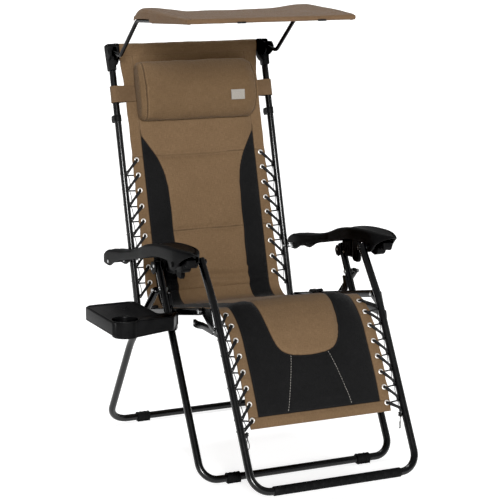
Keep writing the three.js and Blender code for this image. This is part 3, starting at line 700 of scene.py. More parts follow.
for side, k in SIDES:
    o = plates(f"seat_rail_{side}_visual", [(stadium(on_rail(0), on_rail(509.9), 10.5), k * 265.5, k * 276.5, 4.2)], PAINT, seg=4)
    stands_for(o, "seat_rails", "frame_black", f"seat_rail_{side}")
    c = rounded([on_rail(325, 10.8), on_rail(398, 10.8), on_rail(392, 17.5), on_rail(331, 17.5)], [0.5, 0.5, 4, 4])
    lugs = [(rounded([on_rail(s, 8), on_rail(s + 9, 8), on_rail(s + 9, 18.6), on_rail(s, 18.6)], 1.5), k * 260.6, k * 277.2, 0.8) for s in (334, 378)]
    stands_for(plates(f"rail_clip_{side}_visual", [(c, k * 261.5, k * 276, 1.6), *lugs], PLASTIC), "seat_rails", "moulded_plastic", f"rail_clip_{side}")

    p1, p2 = (leg_y(488), 488), (leg_y(458), 458)
    outline = rounded([(p1[0] - 7, p1[1] + 4), (p1[0] + 8, p1[1] + 2), (p2[0] + 18, p2[1] + 10), (-51, 438.5), (-53, 424.5), (-64, 419.5), (-76, 425.5), (p2[0] - 8, p2[1] - 2)], 4)
    weld = rounded([(p1[0] - 7, p1[1]), (p1[0] + 7, p1[1]), (p2[0] + 7, p2[1]), (p2[0] - 7, p2[1])], 2)
    stands_for(plates(f"pivot_bracket_{side}_visual", [(outline, k * 277, k * 280.2, 0.9), (weld, k * 279.6, k * 286, 1.2)], PAINT), "front_leg", "frame_black", f"pivot_bracket_{side}")

    fy = lambda z: -324.1 + (z - 485) * (-324.1 + 563) / (485 - 43)
    b1 = rounded([(fy(492) + 2, 494), (fy(492) + 16, 490), (-264, 487), (-256, 481), (-255, 470), (-266, 465), (fy(440) + 30, 436), (fy(440) + 4, 434)], 4)
    b2 = rounded([(fy(446) + 16, 443), (-262, 444), (-230, 441), (-204, 440), (-204, 422), (-216, 419), (-232, 420), (-264, 425), (fy(436) + 16, 423)], 3)
    lug = rounded([(-216, 441), (-203, 441), (-203, 420), (-216, 420)], 3)
    tab = rounded([(fy(440) - 4, 446), (fy(440) + 30, 444), (fy(430) + 26, 424), (fy(425) - 3, 422)], 4)
    o = plates(f"foot_bracket_{side}_visual", [(b1, k * 261, k * 264.8, 0.9), (b2, k * 259, k * 264.6, 1.6), (lug, k * 257.6, k * 265.4, 1.6), (tab, k * 257.5, k * 262.5, 1.2)], PAINT)
    stands_for(o, "foot_frame", "frame_black", f"foot_bracket_{side}")
    rivets = merged([lathe_x(dome(x, 1.6, 3.6, 1), c, 20, k) for x, c in ((265.3, (-209.5, 431)), (262.4, (fy(434) + 14, 434)))])
    stands_for(obj_from(f"foot_strap_rivets_{side}", *rivets[:2], STEEL, rivets[2], sharp=50), "foot_frame", "rivet_steel")

    bolt(f"leg_pivot_rivet_{side}", 284.7, 328.3, P_REAR, 2.5, 3, 6, "front_leg", k)
    bolt(f"rail_pivot_bolt_{side}", 265.2, 280.5, P_RAIL, 0.9, 3, 6, "rail_pivots", k)
    bolt(f"foot_pivot_bolt_{side}", 258, 276.8, P_FOOT, 2, 2.5, 6, "foot_pivots", k)
    bolt(f"back_pivot_bolt_{side}", 243.7, 276.8, P_BACK, 2.5, 2.5, 6, "back_pivots", k)
    bolt(f"canopy_pivot_bolt_{side}", 242.6, 271.4, P_CAN, 2.5, 4, 8, "back_frame", k, PLASTIC)
    # shouldered armrest bolt
    prof = [*dome(243.7, 2.5, 6, -1)[::-1], (243.7, 3), (264.4, 3), (264.4, 6.6), (264.9, 7), (279.9, 7), (280.4, 6.6), (280.4, 3), (284.4, 3), *dome(284.4, 2.6, 6, 1)]
    v, f, u = lathe_x(prof, P_ARM_R, 24, k)
    stands_for(obj_from(f"arm_pivot_bolt_{side}_visual", v, f, STEEL, u, sharp=50), "arm_pivots", "rivet_steel", f"arm_pivot_bolt_{side}")

# washers between rear and front legs, where the rivet passes
for side, k in SIDES:
    v, f, u = lathe_x([(306.1, 3.2), (306.1, 8.4), (306.5, 8.8), (306.8, 8.4), (306.8, 3.2), (306.1, 3.2)], P_REAR, 24, k)
    stands_for(obj_from(f"leg_washer_{side}", v, f, STEEL, u), "front_leg", "rivet_steel")

# ------------------------------------------------------------------ floor sleeves
def floor_sleeve(name, x, y, body):
    """A moulded sleeve with a flat ribbed sole, a seam and end collars."""
    def ring(grow, sole):
        o = [(y + (14.2 + grow) * math.cos(math.radians(a)), 14 + (14.2 + grow) * math.sin(math.radians(a))) for a in range(-32, 213, 10)]
        return [q for q in o if q[1] > 2.5] + [(y - 11.2 - grow, sole + 1.0), (y - 10.2, sole), (y + 10.2, sole), (y + 11.2 + grow, sole + 1.0)]
    items = [(ring(0, 0.3), x - 20, x + 20, 1.4)]
    items += [(ring(0.9, 0.0), x + a, x + a + 3.2, 0.8) for a in (-19.6, -8.5, 5.3, 16.4)]
    o = plates(name + "_visual", items, RUBBER)
    return stands_for(o, body, "moulded_plastic", name)


for side, k in SIDES:
    floor_sleeve(f"front_foot_sleeve_{side}", k * 203, -330, "front_leg")
    floor_sleeve(f"rear_foot_sleeve_{side}", k * 205, 333, "rear_leg")
prof = [(-192, 10.7), (-192, 12.2), (-191, 13)]
for i in range(-6, 7):                               # shallow grip grooves along the foot bar's sleeve
    c0 = i * 27.0
    prof += [(c0 - 1.6, 13), (c0 - 0.8, 12.55), (c0 + 0.8, 12.55), (c0 + 1.6, 13)]
prof += [(191, 13), (192, 12.2), (192, 10.7)]
v, f, u = lathe_x([(-192, 0), *prof, (192, 0)], (-563, 43), 32)
stands_for(obj_from("foot_bar_sleeve_visual", v, f, RUBBER, u, sharp=60), "foot_frame", "moulded_plastic", "foot_bar_sleeve")

# ------------------------------------------------------------------ back frame's moulded parts
BACKX, BACKS, BACKO = (1, 0, 0), (0, BS, BC), (0, BC, -BS)    # across, up along the tube, and rearward
BACK0 = (0, 236, 371)
for side, k in SIDES:
    v, f, u = sweep([(k * BACK_X, *on_back(-22)), (k * BACK_X, *on_back(-8.3))], 10.9, 28, 3.5)
    stands_for(obj_from(f"back_end_cap_{side}_visual", v, f, PLASTIC, u), "back_frame", "moulded_plastic", f"back_end_cap_{side}")
    bm = bmesh.new()
    sleeve = rounded([(266, 727), (268.8, 790), (268.8, 808), (242, 808), (243, 770), (244.5, 727)], [3, 8, 6, 3, 8, 3])
    prism_bm(bm, [(k * a, b) for a, b in sleeve], BACK0, BACKX, BACKS, BACKO, -13.2, 13.2, 5.0, 5)
    curve = [(228 + 15.5 * (1 - math.cos(math.radians(a))) ** 1.0, 800 - 58 * math.sin(math.radians(a)) ** 1.25) for a in range(0, 91, 10)]
    gusset = [(246, 742), (246, 808.5), (232, 808.5), (228, 806), *curve]
    prism_bm(bm, [(k * a, b) for a, b in gusset], BACK0, BACKX, BACKS, BACKO, -12.5, 12.5, 1.8, 3)
    ear = rounded([(756, -12), (762, -32), (770, -41), (784, -43.5), (794, -38), (800, -12)], [2, 8, 9, 9, 8, 2])
    for a, b in ((243, 249.6), (264.4, 270.8)):
        prism_bm(bm, ear, BACK0, BACKS, BACKO, BACKX, min(k * a, k * b), max(k * a, k * b), 1.5, 3)
    stands_for(obj_from_bm(bm, f"corner_bracket_{side}_visual", PLASTIC), "back_frame", "moulded_plastic", f"corner_bracket_{side}")
    bm = bmesh.new()
    stop = rounded([(572, 9.6), (572, 29), (582, 33.5), (594, 30), (594, 9.6)], [1, 5, 6, 5, 1])
    prism_bm(bm, stop, BACK0, BACKS, BACKO, BACKX, min(k * 246, k * 262), max(k * 246, k * 262), 2.2, 3)
    band = [(254 + 11.6 * math.cos(math.radians(a)), 11.6 * math.sin(math.radians(a))) for a in range(0, 360, 15)]
    prism_bm(bm, [(k * a, b) for a, b in band], BACK0, BACKX, BACKO, BACKS, 573, 593, 1.4, 2)
    stands_for(obj_from_bm(bm, f"back_stop_{side}_visual", PLASTIC), "back_frame", "moulded_plastic", f"back_stop_{side}")

# ------------------------------------------------------------------ armrests
ARM_TOP = np.array([(322, 527), (319, 535), (312, 543), (300, 550), (280, 557), (215, 567), (165, 574), (120, 583), (80, 592), (40, 604), (5, 616), (-25, 625), (-65, 634), (-105, 641), (-160, 647), (-220, 650), (-270, 650.4), (-298, 649.4), (-312, 647.6), (-318, 645.4)], float)
ARM_LOW = np.array([(322, 522), (308, 514.5), (285, 512.5), (258, 513), (240, 521), (205, 536), (130, 553), (40, 572), (-40, 592), (-110, 607), (-185, 612), (-203, 607), (-213, 594), (-230, 589.8), (-246, 595), (-255, 606), (-262, 614), (-283, 627), (-300, 634.5), (-312, 639.5), (-318, 642)], float)
ARM_IN = np.array([(322, 288), (318, 284), (310, 281.7), (297, 281), (60, 281), (40, 281), (-50, 274), (-120, 268), (-215, 268), (-245, 269.4), (-270, 274.5), (-290, 282.5), (-303, 290), (-312, 297), (-318, 303)], float)
ARM_OUT = np.array([(322, 325), (318, 330), (310, 333), (297, 334.4), (60, 335), (-20, 338), (-120, 339), (-215, 338.6), (-245, 336.4), (-270, 331), (-290, 324.5), (-303, 319.5), (-312, 315.5), (-318, 311)], float)


def curve_at(table, y):
    c = catmull(table, 6)
    c = c[np.argsort(c[:, 0], kind="stable")]
    return np.interp(y, c[:, 0], c[:, 1])


def armrest(name, k, body):
    """A moulded channel: soft shoulders, a rim line and a dished pad on top, a hollow underside."""
    ys = np.unique(np.r_[np.linspace(322, 302, 8), np.linspace(302, 255, 12), np.linspace(255, -180, 48), np.linspace(-180, -262, 24), np.linspace(-262, -300, 12), np.linspace(-300, -318, 10)])[::-1]
    zt, zb = curve_at(ARM_TOP, ys), curve_at(ARM_LOW, ys)
    xi, xo = curve_at(ARM_IN, ys), curve_at(ARM_OUT, ys)
    zb = np.minimum(zb, zt - 3)
    rows = []
    for y, t, b, a, c in zip(ys, zt, zb, xi, xo):
        w, h = c - a, t - b
        near = min((322 - y) / 9, (y + 318) / 12, 1)                  # 0 at either end, where the channel closes
        wall, roof = 3.2, 5.0
        r = min(8.0, w * 0.3, h * 0.7)
        pad = smooth01((20 - y) / 60) * smooth01((y + 304) / 22)       # the flat pad lies over the front half
        ridge = smooth01((y - 30) / 60) * smooth01((312 - y) / 30)     # the narrow rear half has a rounded ridge
        pts = [(a, b), (a, b + (h - r) * 0.5), (a + 0.0, t - r)]
        for q in (20, 40, 60, 78):
            q = math.radians(q)
            pts.append((a + r * (1 - math.cos(q)), t - r * (1 - math.sin(q)) - 0.4 * near))
        inset = [r + 0.6, r + 1.8, r + 3.2, r + 4.6]
        dz = [0.5, -2.9, -3.1, -0.6]
        for i, zz in zip(inset, dz):
            pts.append((a + i, t + zz * near))
        span = w - 2 * (r + 4.6)
        for m in np.linspace(0.12, 0.88, 7):
            hump = math.sin(math.pi * m)
            pts.append((a + r + 4.6 + span * m, t - 0.6 * near + near * (-1.9 * pad * hump**0.6 + 2.2 * ridge * hump)))
        for i, zz in zip(inset[::-1], dz[::-1]):
            pts.append((c - i, t + zz * near))
        for q in (78, 60, 40, 20):
            q = math.radians(q)
            pts.append((c - r * (1 - math.cos(q)), t - r * (1 - math.sin(q)) - 0.4 * near))
        pts += [(c, t - r), (c, b + (h - r) * 0.5), (c, b)]
        # inside of the channel, fading out at the ends
        zi = b + (h - roof) * smooth01(near * 1.4) if h > roof else b
        wi = min(wall, w * 0.4)
        pts += [(c - wi, b), (c - wi, b + (zi - b) * 0.6), (c - wi - 1.5, zi), (a + w * 0.5, zi), (a + wi + 1.5, zi), (a + wi, b + (zi - b) * 0.6), (a + wi, b)]
        rows.append([(k * x, y, z) for x, z in pts])
    n, m = len(rows), len(rows[0])
    verts = np.array(rows).reshape(-1, 3)
    faces = [[i * m + j, i * m + (j + 1) % m, (i + 1) * m + (j + 1) % m, (i + 1) * m + j] for i in range(n - 1) for j in range(m)]
    faces += [list(range(m)), [(n - 1) * m + j for j in range(m)]]
    o = obj_from(name + "_visual", verts, faces, PLASTIC, verts[:, :2] / 1000, sharp=38)
    stands_for(o, body, "moulded_plastic", name)
    # ribs across the hollow underside
    ribs = []
    for y in (285, 225, 165, 105, 45, -12):
        t, b = float(curve_at(ARM_TOP, y)), float(curve_at(ARM_LOW, y))
        a, c = float(curve_at(ARM_IN, y)) + 2, float(curve_at(ARM_OUT, y)) - 2
        ribs.append((y, a, c, b + 2.5, t - 4))
    bm = bmesh.new()
    for y, a, c, z0, z1 in ribs:
        if z1 - z0 < 3:
            continue
        prism_bm(bm, [(k * a, z0), (k * c, z0), (k * c, z1), (k * a, z1)], (0, 0, 0), (1, 0, 0), (0, 0, 1), (0, 1, 0), y - 1, y + 1, 0.4, 1)
    stands_for(obj_from_bm(bm, name + "_ribs", PLASTIC), body, "moulded_plastic")
    # screws in the lobes at the front axle and at the rear pivot
    heads = []
    for x, out in ((float(curve_at(ARM_OUT, -230)), 1), (float(curve_at(ARM_IN, -230)), -1)):
        heads.append(lathe_x(dome(x - 0.2 * out, 1.8, 4.2, out), (-222, 603), 20, k))
    heads.append(lathe_x(dome(334.6, 1.6, 5.0, 1), P_ARM_R, 20, k))
    v, f, u = merged(heads)
    stands_for(obj_from(name + "_screws", v, f, STEEL, u, sharp=50), body, "rivet_steel")


for side, k in SIDES:
    armrest(f"armrest_{side}", k, "armrests")
    # the axle's housing: a collared barrel between the armrest and the foot frame's top end
    prof = [(267.6, 0), (267.6, 4.4), (268.2, 5), (271.6, 5), (271.6, 9.2), (272.4, 10), (279, 10), (279.6, 9.2), (281.4, 9.2), (282, 10), (292, 10), (292.6, 8.6), (322, 8.6), (322.6, 10), (333.6, 10), (334.4, 9.2), (334.4, 5), (339.4, 5), (339.4, 7.4), (340, 8), (341.2, 7.4), (342, 4.5), (342, 0)]
    v, f, u = lathe_x(prof, P_ARM_F, 28, k)
    stands_for(obj_from(f"arm_axle_{side}_visual", v, f, PLASTIC, u), "armrests", "frame_black", f"arm_axle_{side}")
    box = rounded([(-166, 636), (-130, 634), (-129, 556), (-137, 547.5), (-160, 547), (-166, 555)], [2, 2, 3, 5, 5, 3])
    rib1 = rounded([(-163, 612), (-156, 612), (-156, 556), (-160, 552), (-163, 556)], 1.2)
    rib2 = rounded([(-143, 612), (-136, 612), (-136, 556), (-139, 552), (-143, 556)], 1.2)
    o = plates(f"lock_box_{side}_visual", [(box, k * 271.8, k * 283.2, 2.0), (rib1, k * 270.9, k * 283.4, 0.8), (rib2, k * 270.9, k * 283.4, 0.8)], PLASTIC)
    stands_for(o, "armrests", "moulded_plastic", f"lock_box_{side}")
    wave = rounded([(-196, 602), (-206, 622), (-214, 634), (-284, 624), (-287, 611), (-282, 601.5), (-277, 602), (-271, 606.5), (-266, 599.5), (-261, 599), (-256, 603.5), (-251, 595.5), (-247, 587.5), (-242, 583.5), (-230, 580), (-214, 583), (-203, 590)], [3, 4, 3, 4, 4, 3, 3, 4, 3, 3, 4, 3, 4, 4, 6, 6, 5], 4)
    core = rounded([(-204, 606), (-212, 622), (-276, 615), (-272, 610), (-256, 604), (-244, 594), (-230, 590), (-214, 593)], 3)
    o = plates(f"lock_lever_{side}_visual", [(wave, k * 289, k * 317, 2.6), (core, k * 287.9, k * 318.1, 1.0)], PLASTIC, seg=4)
    stands_for(o, f"lever_{side}", "moulded_plastic", f"lock_lever_{side}")
    t0 = leg_y(576)
    fin = rounded([(t0 - 14, 574), (t0 + 12, 572), (t0 + 20, 556), (t0 + 12, 541), (t0 - 2, 536), (t0 - 22, 548)], [4, 5, 6, 5, 5, 5])
    v, f, u = sweep([(k * LEG_X, leg_y(569), 569), (k * LEG_X, leg_y(577.5), 577.5)], 11.0, 28, 2.2)
    cap = obj_from(f"leg_cap_{side}", v, f, PLASTIC, u)
    stands_for(cap, "front_leg", "moulded_plastic")
    o = plates(f"leg_slide_fin_{side}_visual", [(fin, k * 306.3, k * 309.5, 0.9)], PLASTIC)
    stands_for(o, "front_leg", "moulded_plastic", f"leg_slide_fin_{side}")
    cheek = rounded([(t0 - 14, 574), (t0 + 12, 572), (t0 + 20, 556), (t0 + 12, 543), (t0 - 2, 539), (t0 - 22, 549)], [4, 5, 6, 5, 5, 5])
    o = plates(f"leg_cheek_{side}", [(cheek, k * 283.7, k * 284.95, 0.45)], PLASTIC, seg=2)
    stands_for(o, "front_leg", "moulded_plastic")
    base = [(-127, 557), (-112, 553), (-64, 550.5), (-54, 556), (-52, 596), (-127, 611)]
    rear_box = rounded(base, [3, 6, 6, 4, 2, 2])
    ribs2 = [(rounded([(y, 602 - (y + 127) * 0.16), (y + 3.4, 601.5 - (y + 127) * 0.16), (y + 3.4, 555.5), (y, 556.5)], 1.0), k * 279.6, k * 283.0, 0.6) for y in (-118, -104, -90, -76, -62)]
    o = plates(f"lock_guide_{side}", [(rear_box, k * 280.2, k * 283.1, 0.9), *ribs2], PLASTIC)
    stands_for(o, "armrests", "moulded_plastic")
    v, f, u = merged([lathe_x(dome(280.4, 0.7, 4.0, -1), c, 18, k) for c in ((-61, 560), (-119, 566))])
    stands_for(obj_from(f"lock_guide_rivets_{side}", v, f, STEEL, u, sharp=50), "armrests", "rivet_steel")
    heads = merged([lathe_x(dome(309.3, 1.8, 5.0, 1), (leg_y(562), 562), 20, k), lathe_x(dome(283.8, 0.4, 4.2, -1), (-14, 559.5), 18, k), lathe_x(dome(309.3, 1.4, 3.4, 1), (t0 + 8, 551), 20, k)])
    stands_for(obj_from(f"leg_fin_rivets_{side}", *heads[:2], STEEL, heads[2], sharp=50), "front_leg", "rivet_steel")

# ------------------------------------------------------------------ side tray
def offset_ring(poly, d):
    """A closed outline moved inwards by d, corner by corner (counter-clockwise outline)."""
    p = np.asarray(poly, float)
    a, b = p - np.roll(p, 1, 0), np.roll(p, -1, 0) - p
    a, b = a / np.linalg.norm(a, axis=1)[:, None], b / np.linalg.norm(b, axis=1)[:, None]
    na, nb = np.stack([-a[:, 1], a[:, 0]], 1), np.stack([-b[:, 1], b[:, 0]], 1)
    n = na + nb
    n /= np.maximum(np.linalg.norm(n, axis=1), 1e-6)[:, None]
    return p + n * d / np.maximum((n * na).sum(1), 0.5)[:, None]


def tray():
    """A lipped deck on a deep skirt, whose front corner bulges round the cup well."""
    cup, Z, R0 = (-449.0, -160.0), 450.0, 38.5
    main = rounded([(-495, 50), (-495, -190), (-473.1, -190)], [26, 20, 0], 8)[:-1]
    half = math.degrees(math.acos(30.0 / R0))
    arc = [(cup[0] + R0 * math.cos(math.radians(a)), cup[1] + R0 * math.sin(math.radians(a))) for a in np.linspace(270 - half, 270 + half, 19)]
    rest = rounded([(-424.9, -190), (-317, -190), (-287, -140), (-287, -131), (-338, -131), (-338, 50), (-416, 50)], [0, 16, 5, 3, 9, 26, 0], 7)[1:]
    corner = rounded([(-416, 50), (-495, 50), (-495, -70)], [0, 26, 0], 8)[1:-1]
    front = rounded([(-495, -70), (-495, -190), (-473.2, -190)], [0, 18, 0], 8)[1:-1]
    outline = np.vstack([corner, front, arc, rest[:-1]])
    bulge = np.zeros(len(outline))
    i0 = len(corner) + len(front)
    bulge[i0:i0 + len(arc)] = 1.0
    prof = [(2.8, 412.0), (0.8, 412.0), (0.0, 412.8), (0.0, 415.6), (0.45, 416.2), (0.45, 417.4), (0.0, 418.0), (0.0, 446.2), (0.5, 447.3), (1.3, 447.8), (2.7, 447.8), (3.4, 448.6), (4.2, 449.7), (5.0, 450.0), (6.4, 450.0), (7.1, 449.7), (7.9, 448.6), (8.6, 448.2)]
    bm = bmesh.new()

    def ring(dd, z):
        scale = 1 - 0.83 * bulge
        a, b = offset_ring(outline, dd), np.asarray(outline, float)
        p = b + (a - b) * scale[:, None]
        drop = np.where(z < 417.9, 9.6, 0.0) * bulge
        return [bm.verts.new((x, y, z - q)) for (x, y), q in zip(p, drop)]

    def bridge(p, q):
        n = len(p)
        for i in range(n):
            bm.faces.new((p[i], p[(i + 1) % n], q[(i + 1) % n], q[i]))

    loops = [ring(dd, z) for dd, z in prof]
    inner = [ring(dd, z) for dd, z in ((3.0, 412.4), (3.2, 445.0), (4.2, 446.0))]
    for p, q in zip(loops, loops[1:]):
        bridge(p, q)
    bridge(loops[0], inner[0])
    bridge(inner[0], inner[1])
    bridge(inner[1], inner[2])

    def circle(r, z, n=64):
        return [bm.verts.new((cup[0] + r * math.cos(2 * math.pi * i / n), cup[1] + r * math.sin(2 * math.pi * i / n), z)) for i in range(n)]

    well = [circle(r, z) for r, z in ((36.7, 448.2), (36.3, 447.4), (36.0, 445.5), (35.6, 412.0), (35.0, 407.5), (33.0, 405.0), (29.0, 404.2), (12.0, 404.5))]
    under = [circle(r, z) for r, z in ((37.4, 446.0), (37.6, 445.0), (37.4, 408.0), (36.4, 403.0), (34.2, 401.2), (31.0, 401.0), (10.0, 401.3))]
    for g in (well, under):
        for p, q in zip(g, g[1:]):
            bridge(p, q)
        bm.faces.new(g[-1])

    def fill(outer, hole):
        edges = []
        for r in (outer, hole):
            for i in range(len(r)):
                a, b = r[i], r[(i + 1) % len(r)]
                edges.append(bm.edges.get((a, b)) or bm.edges.new((a, b)))
        bmesh.ops.triangle_fill(bm, use_beauty=True, use_dissolve=False, edges=edges)

    fill(loops[-1], well[0])
    fill(inner[-1], under[0])
    # stiffening ribs under the deck, the lip that hooks round the front leg, and the lug below it
    for y in (-60, -10):
        prism_bm(bm, [(-491.5, 430), (-341.5, 430), (-341.5, 446.5), (-491.5, 446.5)], (0, 0, 0), (1, 0, 0), (0, 0, 1), (0, 1, 0), y - 1, y + 1, 0.3, 1)
    prism_bm(bm, rounded([(-289, -141), (-281, -137), (-281, -104), (-284.4, -104), (-284.4, -130.5), (-289, -130.5)], [1, 2, 1, 1, 1, 1]), (0, 0, 0), (1, 0, 0), (0, 1, 0), (0, 0, 1), 413, 447.4, 0.9, 2)
    prism_bm(bm, rounded([(-312, -160), (-297, -160), (-284, -139), (-284, -130.5), (-308, -130.5), (-312, -140)], 2.5), (0, 0, 0), (1, 0, 0), (0, 1, 0), (0, 0, 1), 402, 415, 1.6, 2)
    o = obj_from_bm(bm, "tray_visual", TRAY_MAT, 32)
    stands_for(o, "tray", "moulded_plastic", "tray_top")
    # the raised ring round the cup well
    t = np.linspace(0, 2 * math.pi, 73)[:-1]
    ringpts, faces, m, sides = [], [], len(t), 10
    for a in t:
        for b in 2 * math.pi * np.arange(sides) / sides:
            r = 38.0 + 1.9 * math.cos(b)
            ringpts.append((cup[0] + r * math.cos(a), cup[1] + r * math.sin(a), 448.9 + 1.35 * math.sin(b)))
    for i in range(m):
        for j in range(sides):
            faces.append([i * sides + j, ((i + 1) % m) * sides + j, ((i + 1) % m) * sides + (j + 1) % sides, i * sides + (j + 1) % sides])
    v = np.array(ringpts)
    stands_for(obj_from("cup_ring", v, faces, TRAY_MAT, v[:, :2] / 1000, sharp=60), "tray", "moulded_plastic")


tray()

# ------------------------------------------------------------------ the sling's shape
def crease_arc(r=55.0, n=14):
    """From the back's line to the seat's line, through an arc in their corner."""
    b0, s0 = np.array(on_back(0, -1.0)), np.array(on_rail(509.93, 4.0))
    db, ds = np.array([BS, BC]), np.array([499.0, -105.0]) / RAIL_L
    m = np.stack([db, -ds], 1)
    t = np.linalg.solve(m, s0 - b0)
    corner = b0 + db * t[0]
    return fillet([(0, *(corner + db * 200)), (0, *corner), (0, *(corner - ds * 200))], [r], n)[1:-1][:, 1:], corner


CREASE, CORNER = crease_arc()
path = [on_back(757, 4.4), on_back(768, 5.8), on_back(783, 10.2)]
path += [on_back(797 + 11.8 * math.sin(math.radians(a)), 11.8 * math.cos(math.radians(a))) for a in range(0, 181, 20)]
path += [on_back(784, -9.6), on_back(773, -4.6), on_back(762, -2.0), on_back(748, -1.2), on_back(725, -1.0)]
path += [on_back(s, -1.0) for s in np.arange(700, 110, -30)]
path += [tuple(q) for q in CREASE]
path += [on_rail(s, 4.0) for s in np.arange(420, 30, -30)]
path += [on_rail(14, 4.2), (-270, 477.2), (-288, 471.0), (-307, 460.0), (-326, 445), (-343, 427.5), (-358, 408), (-368.5, 390), (-378, 373), (-401, 334), (-423, 294), (-443, 253), (-461.5, 210), (-470, 189)]
PATH = catmull(np.array(path, float), 10)
PATH = resample(PATH, 1700)
ARC = arc_of(PATH)
T_END = ARC[-1]
TAN = np.gradient(PATH, axis=0)
TAN /= np.linalg.norm(TAN, axis=1)[:, None]
NRM = np.stack([TAN[:, 1], -TAN[:, 0]], 1)            # towards the sitter
if (NRM[len(NRM) // 4] @ np.array([-1.0, 0.0])) < 0:
    NRM = -NRM


def near_t(p):
    return float(ARC[np.argmin(((PATH - np.asarray(p, float)) ** 2).sum(1))])


def path_at(t):
    y, z = np.interp(t, ARC, PATH[:, 0]), np.interp(t, ARC, PATH[:, 1])
    ny, nz = np.interp(t, ARC, NRM[:, 0]), np.interp(t, ARC, NRM[:, 1])
    L = np.hypot(ny, nz)
    return y, z, ny / L, nz / L


T700 = near_t(on_back(700, -1))


def t_back(s):
    return T700 + (700 - s)


def t_foot(q):
    return T_END - q


T_SEAM = t_back(771)                                  # the sleeve's seam, under the top bar
T_CREASE = near_t(CREASE[len(CREASE) // 2])
T_SEAT = near_t(on_rail(250, 4))
T_BEND = near_t(on_rail(14, 4.2))
H_SEAMS = [t_back(462), t_back(231)]
STRIP = 186.0
# inner edge of the black side panels: on the back by height s, on the leg by distance q from the hem
XB_BACK = [(536, 187), (520, 181), (502, 170), (480, 157), (459, 145), (435, 135), (411, 127), (382, 122), (354, 119), (290, 116.5), (232, 117), (171, 115), (109, 115), (65, 118)]
XB_LEG = [(420, 118), (370, 116), (331, 113), (300, 110.5), (277, 108), (255, 104.5), (240, 101), (225, 96), (213, 90), (203, 82.5), (196, 74), (190.5, 62), (186.5, 47), (184, 30), (183, 14), (182.6, 0)]
inner = [(t_back(s), x) for s, x in XB_BACK] + [(t_foot(q), x) for q, x in XB_LEG]
INNER = catmull(np.array(inner, float), 5)
HEM_Q = 30.0
region = [(-60.0, INNER[-1][0]), (-60.0, t_foot(HEM_Q)), (STRIP, t_foot(HEM_Q)), (STRIP, t_back(538))]
BLACK_POLY = np.array([(x, t) for t, x in INNER] + region, float)


def seg_distance(px, pt_, a, b):
    ab = b - a
    L2 = max(float(ab @ ab), 1e-9)
    k = np.clip(((px - a[0]) * ab[0] + (pt_ - a[1]) * ab[1]) / L2, 0, 1)
    return np.hypot(px - a[0] - k * ab[0], pt_ - a[1] - k * ab[1])


def black_distance(x, t):
    """Signed distance into the black cloth, in mm."""
    ax = np.abs(x)
    dist = np.full(ax.shape, 1e9)
    inside = np.zeros(ax.shape, bool)
    n = len(BLACK_POLY)
    for i in range(n):
        a, b = BLACK_POLY[i], BLACK_POLY[(i + 1) % n]
        dist = np.minimum(dist, seg_distance(ax, t, a, b))
        if abs(b[1] - a[1]) > 1e-9:
            cross = ((a[1] > t) != (b[1] > t)) & (ax < (b[0] - a[0]) * (t - a[1]) / (b[1] - a[1]) + a[0])
            inside ^= cross
    return np.where(inside, dist, -dist)


def half_width(t):
    return np.interp(t, [0, t_back(745), t_back(700), t_back(520), T_CREASE, T_SEAT, T_BEND, t_foot(330), t_foot(200), t_foot(60), T_END], [229, 228, 223, 221, 221, 219, 219, 221, 220, 216, 214])


GROMMET_S = [454, 408, 361, 313, 268, 223, 177, 129, 82]
GROMMET_Q = [334, 291, 247, 202, 157, 112, 68, 24]
GROMMET_T = [t_back(s) for s in GROMMET_S] + [t_foot(q) for q in GROMMET_Q]
STITCH = [((57.0, t_foot(186)), (98.0, t_foot(32)))]
AMP_T = [0, T_SEAM, T_SEAM + 16, t_back(700), t_back(462), t_back(350), t_back(231), t_back(150), t_back(90), T_CREASE, T_CREASE + 60, T_SEAT, T_BEND - 60, T_BEND, T_BEND + 45, t_foot(300), t_foot(180), t_foot(60), t_foot(HEM_Q + 6), t_foot(HEM_Q), T_END]
AMP_V = [0, 0, 3.5, 8, 12, 15, 12.5, 13, 8, 4, 6, 9, 10, 14, 15.5, 12, 9.5, 8, 4, 1.0, 0.6]


